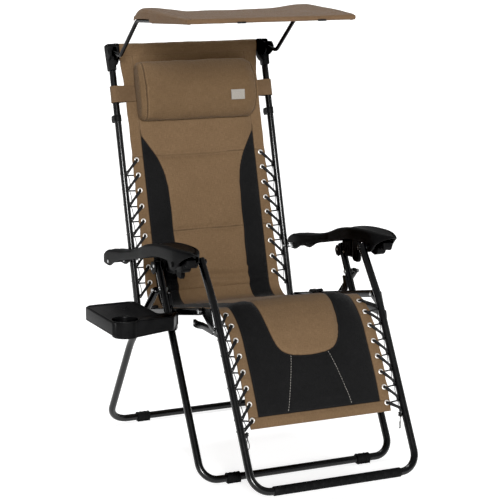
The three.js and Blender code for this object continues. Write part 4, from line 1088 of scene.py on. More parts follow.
def front_height(x, t):
    """How far the sling's face stands off the strip's plane, and how near each point is to a seam."""
    ax = np.abs(x)
    amp = np.interp(t, AMP_T, AMP_V)
    dstrip = STRIP - ax
    inside = smooth01(dstrip / 4)
    crown = np.where(dstrip > 0, 1 - np.exp(-((np.maximum(dstrip, 0) / 20.0) ** 1.3)), 0) * (0.74 + 0.26 * np.cos(np.pi / 2 * np.clip(ax / STRIP, 0, 1)))
    black = black_distance(x, t)
    h = amp * crown
    centre = smooth01(-black / 14)
    dh = np.full(ax.shape, 1e3)
    for ts in H_SEAMS:
        w = 1 + 0.12 * noise2(x / 30, ts, 3)
        dd = np.abs(t - ts - 2.0 * noise2(x / 60, ts / 40, 5))
        h = h * (1 - centre * (0.5 * bell(dd, 9 * w) + 0.3 * bell(dd, 30)))
        dh = np.minimum(dh, np.where(black < -1.5, dd, 1e3))
    on_leg = smooth01((t - t_foot(330)) / 40)
    h = h * (1 - 0.26 * bell(black, 8.5)) - 0.9 * bell(black, 2.6) * inside
    h += on_leg * centre * 2.6                                      # the tongue is the thicker pad on the leg
    seam = np.minimum(np.abs(black), dh)
    ds = np.abs(ax - STRIP)
    faint = np.where(t < t_back(545), 1.3, 0.6)                       # the strip's own seam is a quiet one
    seam = np.where((t > T_SEAM) & (t < t_foot(HEM_Q)), np.minimum(seam, ds + faint), seam)
    seam = np.minimum(seam, np.abs(t - T_SEAM) + 1.9)
    seam = np.minimum(seam, np.abs(t - t_foot(HEM_Q)) + 0.3)
    for a, b in STITCH:
        dd = seg_distance(ax, t, np.array(a), np.array(b))
        h -= 1.6 * bell(dd, 5.5)
    h -= 0.8 * bell(ds, 2.4) * (t > T_SEAM) * (t < t_foot(HEM_Q))
    h -= 0.5 * bell(t - T_SEAM, 3.0)
    h -= 0.9 * bell(t - t_foot(HEM_Q), 2.6)
    # wrinkles: gathers beside the cross seams, folds at the crease, ripples in the strips, and a little all over
    ripple = noise2(x / 9, t / 30, 11) * 0.55 + noise2(x / 5, t / 16, 12) * 0.25
    h += ripple * bell(dh, 16) * centre * 1.5
    h += noise2(x / 70, t / 55, 21) * 1.5 * crown + noise2(x / 26, t / 22, 22) * 0.5 * crown
    up = T_CREASE - t                                               # distance up the back from the crease
    folds = 5.2 * np.sin((up - 6 * noise2(x / 50, 0.3, 31)) / 6.8) * bell(up - 62, 30) * (0.65 + 0.5 * noise2(x / 45, 1.7, 32))
    h += folds * inside * (ax < STRIP)
    h += 1.7 * np.sin((up - 0.25 * ax) / 12.0 + 1.5 * noise2(x / 60, 4.4, 33)) * bell(up - 115, 55) * crown
    diag = (x * 0.55 + t) / 17.0
    h += 0.9 * np.sin(diag + 2 * noise2(x / 40, t / 90, 41)) * bell(ax - 150, 40) * bell(t - t_back(560), 150)
    top_wr = bell(t - (T_SEAM + 30), 60)
    h += 1.1 * noise2(x / 14, t / 60, 42) * top_wr * crown
    pull = np.zeros(ax.shape)
    for tg in GROMMET_T:
        pull += bell(np.hypot((ax - 207) * 0.8, t - tg), 13)
    strip = smooth01((ax - STRIP) / 6)
    h += strip * (-1.6 * pull + 1.1 * noise2(t / 18, x / 60, 51) * smooth01((t - T_SEAM) / 30))
    return h, black, seam


def edge_wave(t, sign):
    """The outer edge is pulled out at each eyelet and slack between them."""
    w = np.zeros(np.shape(t))
    for tg in GROMMET_T:
        w += 2.4 * bell(np.asarray(t) - tg, 12)
    return w - 1.0 + 0.8 * noise2(np.asarray(t) / 40, sign * 3.0, 61)


def sling_grid(t0, t1, step=4.4):
    rows = np.linspace(t0, t1, max(3, int(round((t1 - t0) / step)) + 1))
    main = np.linspace(-STRIP, STRIP, 85)
    out_l, out_r = [], []
    n_strip = 8
    T = np.repeat(rows[:, None], 85 + 2 * n_strip, 1)
    X = np.zeros_like(T)
    hw_r = half_width(rows) + edge_wave(rows, 1)
    hw_l = half_width(rows) + edge_wave(rows, -1)
    for i in range(len(rows)):
        r = STRIP + (hw_r[i] - STRIP) * np.arange(1, n_strip + 1) / n_strip
        l = STRIP + (hw_l[i] - STRIP) * np.arange(1, n_strip + 1) / n_strip
        X[i] = np.r_[-l[::-1], main, r]
    return T, X


def sling_piece(name, t0, t1):
    T, X = sling_grid(t0, t1)
    H, black, seam = front_height(X, T)
    y, z, ny, nz = path_at(T)
    edge = np.clip((half_width(T) + 1.0 - np.abs(X)) / 3.0, 0, 1)     # the edge is folded round, so it is soft
    roll = np.sqrt(np.clip(edge * (2 - edge), 0, 1))
    F = np.stack([X, y + ny * (H + 0.2 * roll), z + nz * (H + 0.2 * roll)], -1)
    crown = np.clip(1 - (np.abs(X) / STRIP) ** 6, 0, 1)
    thick = 1.2 + 1.3 * roll + crown * np.interp(T, AMP_T, AMP_V) * 0.42 * (1 - 0.6 * bell(seam, 9)) * (T > T_SEAM + 6)
    thick = np.minimum(thick, 7.5)
    B = np.stack([X, y - ny * thick, z - nz * thick], -1)
    n, m = T.shape
    ring = np.concatenate([F, B[:, ::-1]], 1)
    k = 2 * m
    verts = ring.reshape(-1, 3)
    faces = [[i * k + j, i * k + (j + 1) % k, (i + 1) * k + (j + 1) % k, (i + 1) * k + j] for i in range(n - 1) for j in range(k)]
    for i in (0, n - 1):                                             # the ends are closed front to back
        for j in range(m - 1):
            faces.append([i * k + j, i * k + j + 1, i * k + k - 2 - j, i * k + k - 1 - j])
    both_x, both_t = np.concatenate([X, X[:, ::-1]], 1), np.concatenate([T, T[:, ::-1]], 1)
    uv = np.stack([both_x.ravel() / 1000, both_t.ravel() / 1000], 1)
    pb = np.concatenate([black, black[:, ::-1]], 1).ravel()
    sm = np.concatenate([seam, seam[:, ::-1]], 1).ravel()
    return obj_from(name, verts, faces, SLING, uv, {"panel": pb, "seam": sm}, sharp=55)


back = sling_piece("sling_back", 0.0, T_CREASE)
rear = sling_piece("sling_seat_rear", T_CREASE, T_SEAT)
front = sling_piece("sling_seat_front", T_SEAT, T_BEND)
leg = sling_piece("sling_leg", T_BEND, T_END)
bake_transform(back)
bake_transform(rear)
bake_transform(front)
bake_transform(leg)
for o, slot_name, nodes in ((back, "brown_fabric", ("back_pad",)), (rear, "brown_fabric", ("seat_pad",)), (front, "brown_fabric", ()), (leg, "black_fabric", ("leg_pad",))):
    if nodes:
        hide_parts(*nodes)

# light top-stitching on the leg panel, as thread laid in its ditch
def stitches(name, a, b, pitch=7.5, dash=4.8):
    parts = []
    for sgn in (1, -1):
        p, q = np.array(a, float), np.array(b, float)
        L = float(np.hypot(*(q - p)))
        for i in range(int(L / pitch)):
            pts3 = []
            for kk in np.linspace(0, dash, 4):
                x, t = p + (q - p) * (i * pitch + kk) / L
                h = float(front_height(np.array([[sgn * x]]), np.array([[t]]))[0][0, 0])
                yy, zz, ny, nz = path_at(t)
                lift = h + 0.35 + 0.35 * math.sin(math.pi * kk / dash)
                pts3.append((sgn * x, yy + ny * lift, zz + nz * lift))
            parts.append(sweep(pts3, 0.62, 6, 0.25))
    v, f, u = merged(parts)
    o = obj_from(name, v, f, THREAD, u, sharp=60)
    return o


for i, (a, b) in enumerate(STITCH):
    o = stitches(f"leg_top_stitching_{i}", a, b)
    stands_for(o, "foot_frame", "black_fabric")

# ------------------------------------------------------------------ eyelets and elastic lacing
def skin(x, t, lift=0.0):
    """A point on the sling's face, and the way it faces."""
    h = float(front_height(np.array([[x]]), np.array([[t]]))[0][0, 0])
    y, z, ny, nz = path_at(t)
    return np.array([x, y + ny * (h + lift), z + nz * (h + lift)]), np.array([0, float(ny), float(nz)])


def eyelet(x, t):
    c, n = skin(x, t)
    u = np.array([1.0, 0, 0])
    w = np.cross(n, u)
    verts, faces = [], []
    prof = [(4.1, -3.4), (3.9, -0.4), (4.3, 1.0), (5.3, 1.6), (6.6, 1.45), (7.8, 0.7), (8.1, -0.2), (7.4, -0.6), (4.8, -0.6), (4.8, -3.4)]
    m, sides = len(prof), 26
    for i in range(sides):
        a = 2 * math.pi * i / sides
        dirn = math.cos(a) * u + math.sin(a) * w
        for r, hh in prof:
            verts.append(c + dirn * r + n * hh)
    for i in range(sides):
        for j in range(m):
            faces.append([i * m + j, ((i + 1) % sides) * m + j, ((i + 1) % sides) * m + (j + 1) % m, i * m + (j + 1) % m])
    v = np.array(verts)
    return v, faces, v[:, :2] / 1000


def eyelets(name, k, ts, body):
    v, f, u = merged([eyelet(k * 206.5, t) for t in ts])
    stands_for(obj_from(name, v, f, EYELET, u, sharp=50), body, "rivet_steel")


def lacing(name, node, k, ts, tube_at, tube_r, body, tail):
    """Doubled elastic from each eyelet down to a peg behind the tube, and back behind the strip to the next eyelet."""
    R = 2.5
    parts, pegs, joints = [], [], []
    for i, t in enumerate(ts):
        c, n = skin(k * 206.5, t)
        nxt = ts[i + 1] if i + 1 < len(ts) else t + (ts[i] - ts[i - 1])
        tj = t + (nxt - t) * 0.8
        base, _, rear_ = tube_at(tj)
        hub = np.array([k * abs(base[0]), base[1], base[2]])
        step = np.array(tube_at(nxt)[0]) - np.array(tube_at(t)[0])
        step = np.array([0, step[1], step[2]])
        step /= np.linalg.norm(step)
        inn = np.array([-k * 1.0, 0, 0])
        outr = tube_r + R + 0.25

        def on_tube(angle, along, lift=0.0):                          # 0 is the inner side, 90 behind
            a = math.radians(angle)
            return hub + (inn * math.cos(a) + rear_ * math.sin(a)) * (outr + lift) + step * along

        run = on_tube(-20, 0) - c
        run /= np.linalg.norm(run)
        across = np.cross(n, run)
        across /= np.linalg.norm(across)
        if across @ step < 0:
            across = -across
        def strand(sgn):
            o1, o2 = across * sgn * 1.7, sgn * 2.95
            return [c - n * 5.0 + o1, c + n * 0.4 + o1, c + n * 3.3 + run * 4.0 + o1, c + n * 3.4 + run * 11 + across * sgn * 2.3,
                    0.35 * (c + n * 2.5) + 0.65 * on_tube(-26, o2), on_tube(-16, o2), on_tube(12, o2), on_tube(45, o2), on_tube(80, o2 * 1.15)]
        a, b = strand(-1), strand(1)
        loop = [*a, on_tube(101, -1.6), on_tube(105, 0), on_tube(101, 1.6), *b[::-1]]
        parts.append(sweep(catmull(np.array(loop), 6), R, 10, 0.8))
        peg = (inn * math.cos(math.radians(93)) + rear_ * math.sin(math.radians(93)))
        pegs.append(sweep(np.array([hub + peg * (tube_r - 1.5), hub + peg * (tube_r + 3), hub + peg * (tube_r + 5.8)]), 1.7, 10, 0.3))
        pegs.append(sweep(np.array([hub + peg * (tube_r + 5.6), hub + peg * (tube_r + 6.6), hub + peg * (tube_r + 7.4)]), 4.4, 14, 0.5))
        joints.append((on_tube(-8, 9.0, 0.4), inn, step))
        if i + 1 < len(ts):
            c2, n2 = skin(k * 206.5, nxt)
            q = np.array([on_tube(88, 6.2), on_tube(55, 7.4), on_tube(22, 8.0), on_tube(-4, 8.6), 0.62 * on_tube(-4, 9) + 0.38 * (c2 - n2 * 5.5), c2 - n2 * 5.6 + np.array([k * 9.0, 0, 0]), c2 - n2 * 5.4, c2 - n2 * 1.0])
            parts.append(sweep(catmull(q, 6), R * 0.92, 10, 0.8))
    for (p, inn, step), (q, _, _) in zip(joints, joints[1:]):          # the thin line that runs down beside the tube
        L = np.linalg.norm(q - p)
        pts = [p + step * 1.0, p + step * L * 0.25 + inn * 2.6, p + step * L * 0.55 + inn * 3.4, p + step * L * 0.82 + inn * 1.4, q - step * 5.0]
        parts.append(sweep(catmull(np.array(pts), 5), 1.15, 8, 0.3))
    if tail:                                                          # a stopper knot and a hanging loop
        end = joints[-1][0]
        knot = [end + np.array([-k * (2 + 3.6 * math.cos(a)), 2.4 * math.sin(a), -3 - 2.6 * a / math.pi + 1.8 * math.sin(1.5 * a)]) for a in np.linspace(0, 3.6 * math.pi, 40)]
        parts.append(sweep(catmull(np.array([end, *knot]), 3), R * 0.95, 9, 0.8))
        s_ = knot[-1]
        loop = [s_, s_ + (-k * 1.0, -2, -7), s_ + (-k * 3.5, -3, -16), s_ + (-k * 4.5, -3, -25), s_ + (-k * 2.0, -2, -32), s_ + (k * 0.8, -1, -27), s_ + (k * 1.0, 0, -15), s_ + (0, 1, -4)]
        parts.append(sweep(catmull(np.array(loop), 6), 1.1, 8, 0.4))
    v, f, u = merged(parts)
    stands_for(obj_from(name, v, f, CORD, u, sharp=60), body, "elastic_cord", node)
    v, f, u = merged(pegs)
    stands_for(obj_from(name.replace("lacing", "pegs").replace("_visual", ""), v, f, PLASTIC, u, sharp=50), body, "moulded_plastic")


REAR_BACK = np.array([0, BC, -BS])
FOOT_U = np.array([0, FOOT_D[0], FOOT_D[1]]) / FOOT_L
FOOT_R_DIR = np.array([0, FOOT_D[1], -FOOT_D[0]]) / FOOT_L


def back_tube_at(t):
    s = 700 - (t - T700)
    y, z = on_back(s)
    return np.array([BACK_X, y, z]), None, REAR_BACK


foot_line = fillet([(FOOT_X, *FOOT_TOP), (FOOT_X, -324.1, 485), (FOOT_X, -563, 43)], [160])
foot_line = resample(foot_line, 500)


def foot_tube_at(t):
    y, z, ny, nz = path_at(t)
    d2 = np.hypot(foot_line[:, 1] - y, foot_line[:, 2] - z)
    # straight out from the strip: the tube's nearest point
    i = int(np.argmin(d2))
    i = min(max(i, 1), len(foot_line) - 2)
    tg = foot_line[i + 1] - foot_line[i - 1]
    tg /= np.linalg.norm(tg)
    rear_dir = np.array([0, -tg[2], tg[1]])
    if rear_dir[1] < 0:
        rear_dir = -rear_dir
    return foot_line[i].copy(), None, rear_dir


for side, k in SIDES:
    ts = [t_back(s) for s in GROMMET_S]
    eyelets(f"back_eyelets_{side}", k, ts, "back_frame")
    lacing(f"back_lacing_{side}_visual", f"back_lacing_{side}", k, ts, back_tube_at, 10.0, "back_frame", False)
    ts = [t_foot(q) for q in GROMMET_Q]
    eyelets(f"leg_eyelets_{side}", k, ts, "foot_frame")
    lacing(f"leg_lacing_{side}_visual", f"leg_lacing_{side}", k, ts, foot_tube_at, 10.5, "foot_frame", True)

# ------------------------------------------------------------------ head pillow
def pillow_section(n=64):
    """The pillow's outline: (along the back, off it), a rounded bolster that is flat behind."""
    out = []
    for i in range(n):
        a = 2 * math.pi * i / n
        c, s = math.cos(a), math.sin(a)
        o_amp = 35 if c < 0 else 23
        out.append((87 * math.copysign(abs(s) ** (0.92 if c < 0 else 0.7), s), -31 + o_amp * math.copysign(abs(c) ** (0.95 if c < 0 else 0.7), c)))
    return np.array(out)


def pillow():
    S = 657.0
    sec = pillow_section()
    xs = np.r_[np.linspace(-196, -150, 9), np.linspace(-140, 140, 29), np.linspace(150, 196, 9)]
    verts, m = [], len(sec)
    for x in xs:
        q = abs(x) / 196
        pinch = 1 - 0.04 * smooth01((q - 0.62) / 0.38) - 0.10 * smooth01((q - 0.93) / 0.07)
        flat = 1 - 0.12 * smooth01((q - 0.55) / 0.45) - 0.3 * smooth01((q - 0.93) / 0.07)
        for s, o in sec:
            o2 = -31 + (o + 31) * flat
            verts.append((x, *on_back(S + s * pinch, o2)))
    faces = [[i * m + j, i * m + (j + 1) % m, (i + 1) * m + (j + 1) % m, (i + 1) * m + j] for i in range(len(xs) - 1) for j in range(m)]
    faces += [list(range(m)), [(len(xs) - 1) * m + j for j in range(m)]]
    o = obj_from("pillow_start", np.array(verts), faces, PILLOW_SHADED_MAT)
    mod = o.modifiers.new("remesh", "REMESH")
    mod.mode, mod.voxel_size = "VOXEL", 0.005
    dg = bpy.context.evaluated_depsgraph_get()
    me = bpy.data.meshes.new_from_object(o.evaluated_get(dg), depsgraph=dg)
    bpy.data.objects.remove(o)
    sim = bpy.data.objects.new("pillow_sim", me)
    bpy.context.scene.collection.objects.link(sim)
    rest = np.zeros(len(me.vertices) * 3)
    me.vertices.foreach_get("co", rest)
    rest = rest.reshape(-1, 3)
    co = rest.copy()
    mod = sim.modifiers.new("cloth", "CLOTH")
    st = mod.settings
    st.quality, st.mass, st.air_damping = 6, 0.3, 2.0
    st.tension_stiffness = st.compression_stiffness = 12
    st.shear_stiffness, st.bending_stiffness = 6, 0.35
    st.use_pressure, st.uniform_pressure_force = True, 4.0
    st.effector_weights.gravity = 0.0
    mod.point_cache.frame_start, mod.point_cache.frame_end = 1, 20
    scene = bpy.context.scene
    for fr in range(1, 21):
        scene.frame_set(fr)
    dg = bpy.context.evaluated_depsgraph_get()
    ev = sim.evaluated_get(dg)
    got = np.zeros(len(rest) * 3)
    ev.data.vertices.foreach_get("co", got)
    move = got.reshape(-1, 3) - rest
    far = np.linalg.norm(move, axis=1)
    move *= np.minimum(1, 0.016 / np.maximum(far, 1e-9))[:, None]
    co = rest + move
    scene.frame_set(1)
    bpy.data.objects.remove(sim)
    # chair coordinates: x, along the back, off the back
    c = co * 1000 - (SX, SY, 0)
    rel_y, rel_z = c[:, 1] - 236, c[:, 2] - 371
    s_, o_ = rel_y * BS + rel_z * BC, rel_y * BC - rel_z * BS
    x = c[:, 0]
    # even the width out along the pillow, so that the filling holds it full from end to end
    cs, bins = s_ - S, np.linspace(-200, 200, 41)
    which = np.clip(np.digitize(x, bins), 1, 40)
    top_, low_ = np.ones(42) * 90.0, np.ones(42) * 90.0
    for b in range(1, 41):
        here = which == b
        if here.sum() > 8:
            top_[b], low_[b] = cs[here].max(), -cs[here].min()
    mids = (bins[:-1] + bins[1:]) / 2
    want = 91.5 - 4.0 * (np.abs(mids) / 200) ** 4 - 9.0 * smooth01((np.abs(mids) - 184) / 14)
    kern = np.ones(5) / 5
    gain_t = np.convolve(np.pad(want / np.maximum(top_[1:41], 30), 2, mode="edge"), kern, "valid")
    gain_l = np.convolve(np.pad(want / np.maximum(low_[1:41], 30), 2, mode="edge"), kern, "valid")
    cs = cs * np.where(cs > 0, np.interp(x, mids, gain_t), np.interp(x, mids, gain_l))
    s_ = S + cs
    belly = np.sqrt(np.clip(1 - (np.clip(np.abs(cs) / 93, 0, 1)) ** 2.1, 0, 1))
    endy = 1 - 0.22 * smooth01((np.abs(x) - 150) / 45)
    front = np.clip((-31 - o_) / 14, 0, 1) ** 0.5
    o_ = np.where(o_ < -31, -15 - 59.0 * belly * endy * front + (o_ + 31) * 0.04, -3.2 + (o_ + 3.2) * 11.8 / 27.8)
    x = x * np.where(x > 0, 1 - 0.055 * np.clip(np.abs(cs) / 91, 0, 1) ** 2.4, 1 - 0.012 * np.clip(np.abs(cs) / 91, 0, 1) ** 3)
    co_ = o_ + 33
    # seams after the remesh: the end panels' seams and gathers beside them
    end_x = np.where(x > 0, 178 + 9 * (1 - (np.clip(np.abs(cs) / 92, 0, 1)) ** 2), 174 + 3 * (1 - np.clip(np.abs(cs) / 92, 0, 1) ** 2))
    dseam = np.abs(np.abs(x) - end_x)
    ang = np.arctan2(co_, cs)
    gather = noise2(ang * 9 + 40, np.sign(x) * 3.0, 71) * bell(np.abs(x) - end_x, 22) * 1.5
    broad = noise2(x / 55, ang * 2.2 + 9, 72) * 1.6 + noise2(x / 20, ang * 5 + 3, 73) * 0.5
    radial = np.stack([cs / 92, co_ / 38], 1)
    radial /= np.maximum(np.linalg.norm(radial, axis=1), 1e-6)[:, None]
    push = gather + broad - 2.4 * bell(dseam, 3.0)
    s_ += radial[:, 0] * push * 0.8
    o_ = np.minimum(o_ + radial[:, 1] * push, -3.2 + 0.0 * o_)
    y = 236 + s_ * BS + o_ * BC
    z = 371 + s_ * BC - o_ * BS
    me2 = me
    me2.vertices.foreach_set("co", place(np.stack([x, y, z], 1)).ravel())
    me2.name = "head_pillow_visual"
    layer = me2.uv_layers.new(name="UVMap")
    loops = np.zeros(len(me2.loops), np.int64)
    me2.loops.foreach_get("vertex_index", loops)
    r_arc = np.where(np.abs(ang) < 10, ang * 60, 0)
    uv = np.stack([x / 1000, r_arc / 1000], 1).astype(np.float32)
    layer.data.foreach_set("uv", uv[loops].ravel())
    me2.attributes.new("seam", "FLOAT", "POINT").data.foreach_set("value", dseam.astype(np.float32))
    me2.materials.clear()
    me2.materials.append(PILLOW_SHADED_MAT)
    me2.shade_smooth()
    o = bpy.data.objects.new("head_pillow_visual", me2)
    bpy.context.scene.collection.objects.link(o)
    sub = o.modifiers.new("smooth", "SUBSURF")
    sub.levels = sub.render_levels = 1
    stands_for(o, "headrest", "brown_fabric", "head_pillow")
    return np.stack([x, s_, o_], 1)


PILLOW_PTS = pillow()


def pillow_face(x, s):
    """How far forward the pillow's face is at a point."""
    d2 = (PILLOW_PTS[:, 0] - x) ** 2 + (PILLOW_PTS[:, 1] - s) ** 2
    near = np.argsort(d2)[:60]
    return float(PILLOW_PTS[near][:, 2].min())


def label():
    """The bare label sewn on the pillow's face, following its curve."""
    nx, ns = 13, 9
    xs, ss = np.linspace(94, 139, nx), np.linspace(612, 642, ns)
    rows = []
    face = np.array([[pillow_face(x, s) for x in xs] for s in ss])
    for _ in range(3):
        p = np.pad(face, 1, mode="edge")
        face = (p[1:-1, 1:-1] * 2 + p[:-2, 1:-1] + p[2:, 1:-1] + p[1:-1, :-2] + p[1:-1, 2:]) / 6
    verts = []
    for lift in (1.5, 0.3):
        for i, s in enumerate(ss):
            for j, x in enumerate(xs):
                verts.append((x, *on_back(s, face[i, j] - lift)))
    n = nx * ns
    faces = []
    for i in range(ns - 1):
        for j in range(nx - 1):
            a = i * nx + j
            faces.append([a, a + 1, a + nx + 1, a + nx])
            faces.append([n + a, n + a + nx, n + a + nx + 1, n + a + 1])
    rim = [j for j in range(nx)] + [i * nx + nx - 1 for i in range(1, ns)] + [(ns - 1) * nx + j for j in range(nx - 2, -1, -1)] + [i * nx for i in range(ns - 2, 0, -1)]
    for a, b in zip(rim, rim[1:] + rim[:1]):
        faces.append([a, b, n + b, n + a])
    v = np.array(verts)
    o = obj_from("pillow_label", v, faces, LABEL, v[:, [0, 2]] / 1000)
    stands_for(o, "headrest", "brown_fabric")
    # its hemmed frame, a touch proud
    parts = []
    for i, loop_pts in enumerate(([(x, ss[1]) for x in xs[1:-1]], [(x, ss[-2]) for x in xs[1:-1]], [(xs[1], s) for s in ss[1:-1]], [(xs[-2], s) for s in ss[1:-1]])):
        q = []
        for x, s in loop_pts:
            ii, jj = int(np.argmin(np.abs(ss - s))), int(np.argmin(np.abs(xs - x)))
            q.append((x, *on_back(s, face[ii, jj] - 1.75)))
        parts.append(sweep(np.array(q), 0.35, 6, 0.1))
    v, f, u = merged(parts)
    stands_for(obj_from("pillow_label_stitching", v, f, THREAD, u, sharp=60), "headrest", "brown_fabric")


label()


def strap(side, k):
    """A flat band from behind the pillow, round the tube, and back to the pillow's end."""
    loop = [(172, -6.5), (190, -6.0), (206, -7.0), (222, -9.5), (236, -11.6), (246, -12.8), (254, -13.0)]
    loop += [(254 + 13.0 * math.sin(math.radians(a)), -13.0 * math.cos(math.radians(a))) for a in range(15, 181, 15)]
    loop += [(246, 12.6), (238, 10.0), (229, 4.5), (220, 0.5), (208, -2.0), (192, -3.0), (176, -3.2)]
    c = resample(catmull(np.array(loop, float), 6), 80)
    d_ = np.gradient(c, axis=0)
    d_ /= np.linalg.norm(d_, axis=1)[:, None]
    nrm = np.stack([d_[:, 1], -d_[:, 0]], 1)
    ss = np.linspace(630, 680, 15)
    arc = arc_of(c)
    verts = []
    for lift in (0.8, -0.8):
        for i in range(len(c)):
            for j, s in enumerate(ss):
                e_ = abs(j - 7) / 7
                hem = 0.25 if 0.74 < e_ < 0.9 else (-0.1 if e_ >= 0.9 else 0)
                w = 0.9 * float(noise2(i / 9.0, j / 6.0, 81)) * bell(i - 22, 16)
                x, o = c[i] + nrm[i] * (lift * (1 + hem) + w)
                pinch = 1 - 0.05 * bell(i - 14, 10)
                verts.append((k * x, *on_back(655 + (s - 655) * pinch, o)))
    n, m = len(c), len(ss)
    A = n * m
    faces = []
    for i in range(n - 1):
        for j in range(m - 1):
            a = i * m + j
            faces.append([a, a + 1, a + m + 1, a + m])
            faces.append([A + a, A + a + m, A + a + m + 1, A + a + 1])
    rim = [j for j in range(m)] + [i * m + m - 1 for i in range(1, n)] + [(n - 1) * m + j for j in range(m - 2, -1, -1)] + [i * m for i in range(n - 2, 0, -1)]
    for a, b in zip(rim, rim[1:] + rim[:1]):
        faces.append([a, b, A + b, A + a])
    uv = [(arc[i] / 1000, s / 1000) for _ in range(2) for i in range(n) for s in ss]
    o = obj_from(f"pillow_strap_{side}_visual", np.array(verts), faces, STRAP_MAT, np.array(uv), sharp=50)
    stands_for(o, "headrest", "brown_fabric", f"pillow_strap_{side}")


for side, k in SIDES:
    strap(side, k)

# ------------------------------------------------------------------ canopy sheet
ROD = canopy_line[canopy_line[:, 0] < -256.99][:, 1:]
ROD = ROD[np.argsort(-ROD[:, 0])]                                     # from the hinge forward


def rod_z(y):
    o = np.argsort(ROD[:, 0])
    return np.interp(y, ROD[o, 0], ROD[o, 1])


TOP_SIDE = catmull(np.array([(-152, 1260.6), (-120, 1263.5), (-40, 1268), (60, 1272), (130, 1274.8), (154, 1274.2), (178, 1268), (196, 1258.5), (207, 1249), (213, 1242)], float), 6)
TOP_MID = catmull(np.array([(-152, 1260.6), (-120, 1262.5), (-40, 1265), (60, 1266.5), (130, 1266), (170, 1264), (190, 1260), (206, 1256)], float), 6)


def canopy_sheet():
    """One cloth over the rods: it stands above them at the back, hangs down round them at the sides, and is sleeved on the front bar."""
    # across, from inside the side rod, out under it, up the side and over: (x, share of the way from rod to top, offset)
    half = [(251, 0.0, -7.4), (254, 0.0, -7.7), (257, 0.0, -7.8), (262, 0.0, -6.4), (264.8, 0.0, -2.6), (266.4, 0.12, 1.0), (267.6, 0.42, 1.0), (267.8, 0.72, 0.0), (266.4, 0.93, -0.6), (262, 1.0, 0.3), (254, 1.0, 1.0), (242, 1.0, 1.0), (228, 1.0, 0.6), (214, 1.0, 0.2)]
    half = resample_rows(np.array(half, float), 30)
    mids = np.linspace(206, -206, 45)
    cross = [(x, f, dz, True) for x, f, dz in half] + [(x, 1.0, 0.0, False) for x in mids] + [(-x, f, dz, True) for x, f, dz in half[::-1]]
    front = [(-152 - 7.7 * math.sin(math.radians(a)), 1254 + 7.7 * math.cos(math.radians(a)) - 1.0 * math.cos(math.radians(a)) * (a < 40)) for a in (25, 50, 75, 100, 125, 150, 172)] + [(-146, 1246.4), (-139, 1246.6), (-131, 1247.2)]
    tops = np.linspace(0, 1, 52)
    rows = []
    for i in range(len(tops) + len(front)):
        row = []
        for x, f, dz, edge in cross:
            ax = abs(x)
            side = smooth01((ax - 140) / 95)
            if i < len(tops):
                y0 = 200 + 12 * side
                y = y0 + (-152.5 - y0) * tops[i]
                zs, zm = np.interp(y, TOP_SIDE[:, 0], TOP_SIDE[:, 1]), np.interp(y, TOP_MID[:, 0], TOP_MID[:, 1])
                zt = zm + (zs - zm) * smooth01((ax - 120) / 110)
                zr = min(rod_z(y), zt - 7.0)
                z = zr + (zt - zr) * f + dz + (14.6 * smooth01((y - 96) / 8) if f < 0.1 else 0.0)   # at the back the hem stops above the rod
                if not edge or f > 0.9:
                    fade = smooth01((y + 150) / 22)
                    z += fade * (1.0 * float(noise2(x / 60, y / 50, 91)) - 3.4 * math.cos(math.pi * x / 430) * math.sin(math.pi * min(max((y + 152) / 350, 0), 1)) ** 0.7 * (ax < 215))
                    z += fade * (0.9 * math.sin((x + 0.6 * y) / 38) * float(bell(ax - 190, 55)) + 1.2 * math.sin(x / 23 + y / 60) * float(bell(y - 192, 24)) * (1 - side))
                out = 1.3 * float(noise2(y / 34, 7.0 * (1 if x > 0 else -1), 93)) * (0.2 < f < 0.95)
                tuck = 7.0 * smooth01((ax - 225) / 35) * smooth01(1 - (y + 152.5) / 26)
                row.append((math.copysign(ax + out - tuck, x), y, z))
            else:
                fy_, fz = front[i - len(tops)]
                x2 = math.copysign(ax - 9.0 * smooth01((ax - 225) / 35), x)
                low = edge and f < 0.5
                q = 0.5 if low else 1.0
                row.append((x2, -152 + (fy_ + 152) * q, 1254 + (fz - 1254) * q + 0.4 * float(noise2(x / 22, i / 3.0, 92))))
        rows.append(row)
    n, m = len(rows), len(rows[0])
    verts = np.array(rows, float).reshape(-1, 3)
    faces = [[i * m + j, i * m + j + 1, (i + 1) * m + j + 1, (i + 1) * m + j] for i in range(n - 1) for j in range(m - 1)]
    grid = verts.reshape(n, m, 3)
    arc_u = np.array([arc_of(grid[k2]) for k2 in range(n)])
    arc_v = np.stack([arc_of(grid[:, k2]) for k2 in range(m)], 1)
    uv = np.stack([arc_u.ravel() / 1000, arc_v.ravel() / 1000], 1)
    xx, yy, zz = grid[..., 0], grid[..., 1], grid[..., 2]
    top_face = zz > 1258
    hem = np.where(top_face, np.abs(np.abs(xx) - 246.0), 9.0)
    front_hem = np.where(np.abs(xx) < 240, np.abs(yy + 134), 9.0)
    rear_hem = np.abs(yy - (188 + 24 * smooth01((np.abs(xx) - 140) / 95)))
    seam = np.minimum(np.minimum(hem, front_hem), rear_hem)
    o = obj_from("canopy_sheet", verts, faces, CANOPY_MAT, uv, {"seam": seam.ravel()}, sharp=70)
    area = sum(p.area for p in o.data.polygons)
    mod = o.modifiers.new("thickness", "SOLIDIFY")
    mod.thickness, mod.offset = 0.0012, -1
    stands_for(o, "canopy", "brown_fabric", "canopy_fabric")
    width = float(arc_u.max() / 1000)
    return o, area, width


sheet, sheet_area, sheet_w = canopy_sheet()
# webbing tabs that tie the front pocket to the bar
bm = bmesh.new()
for x in (-96, 152):
    prism_bm(bm, rounded([(x - 13, 1245.4), (x + 13, 1245.4), (x + 13, 1250.4), (x - 13, 1250.4)], 1.5), (0, 0, 0), (1, 0, 0), (0, 0, 1), (0, 1, 0), -162.2, -158.6, 0.5, 1)
stands_for(obj_from_bm(bm, "canopy_tabs", CORD), "canopy", "elastic_cord")

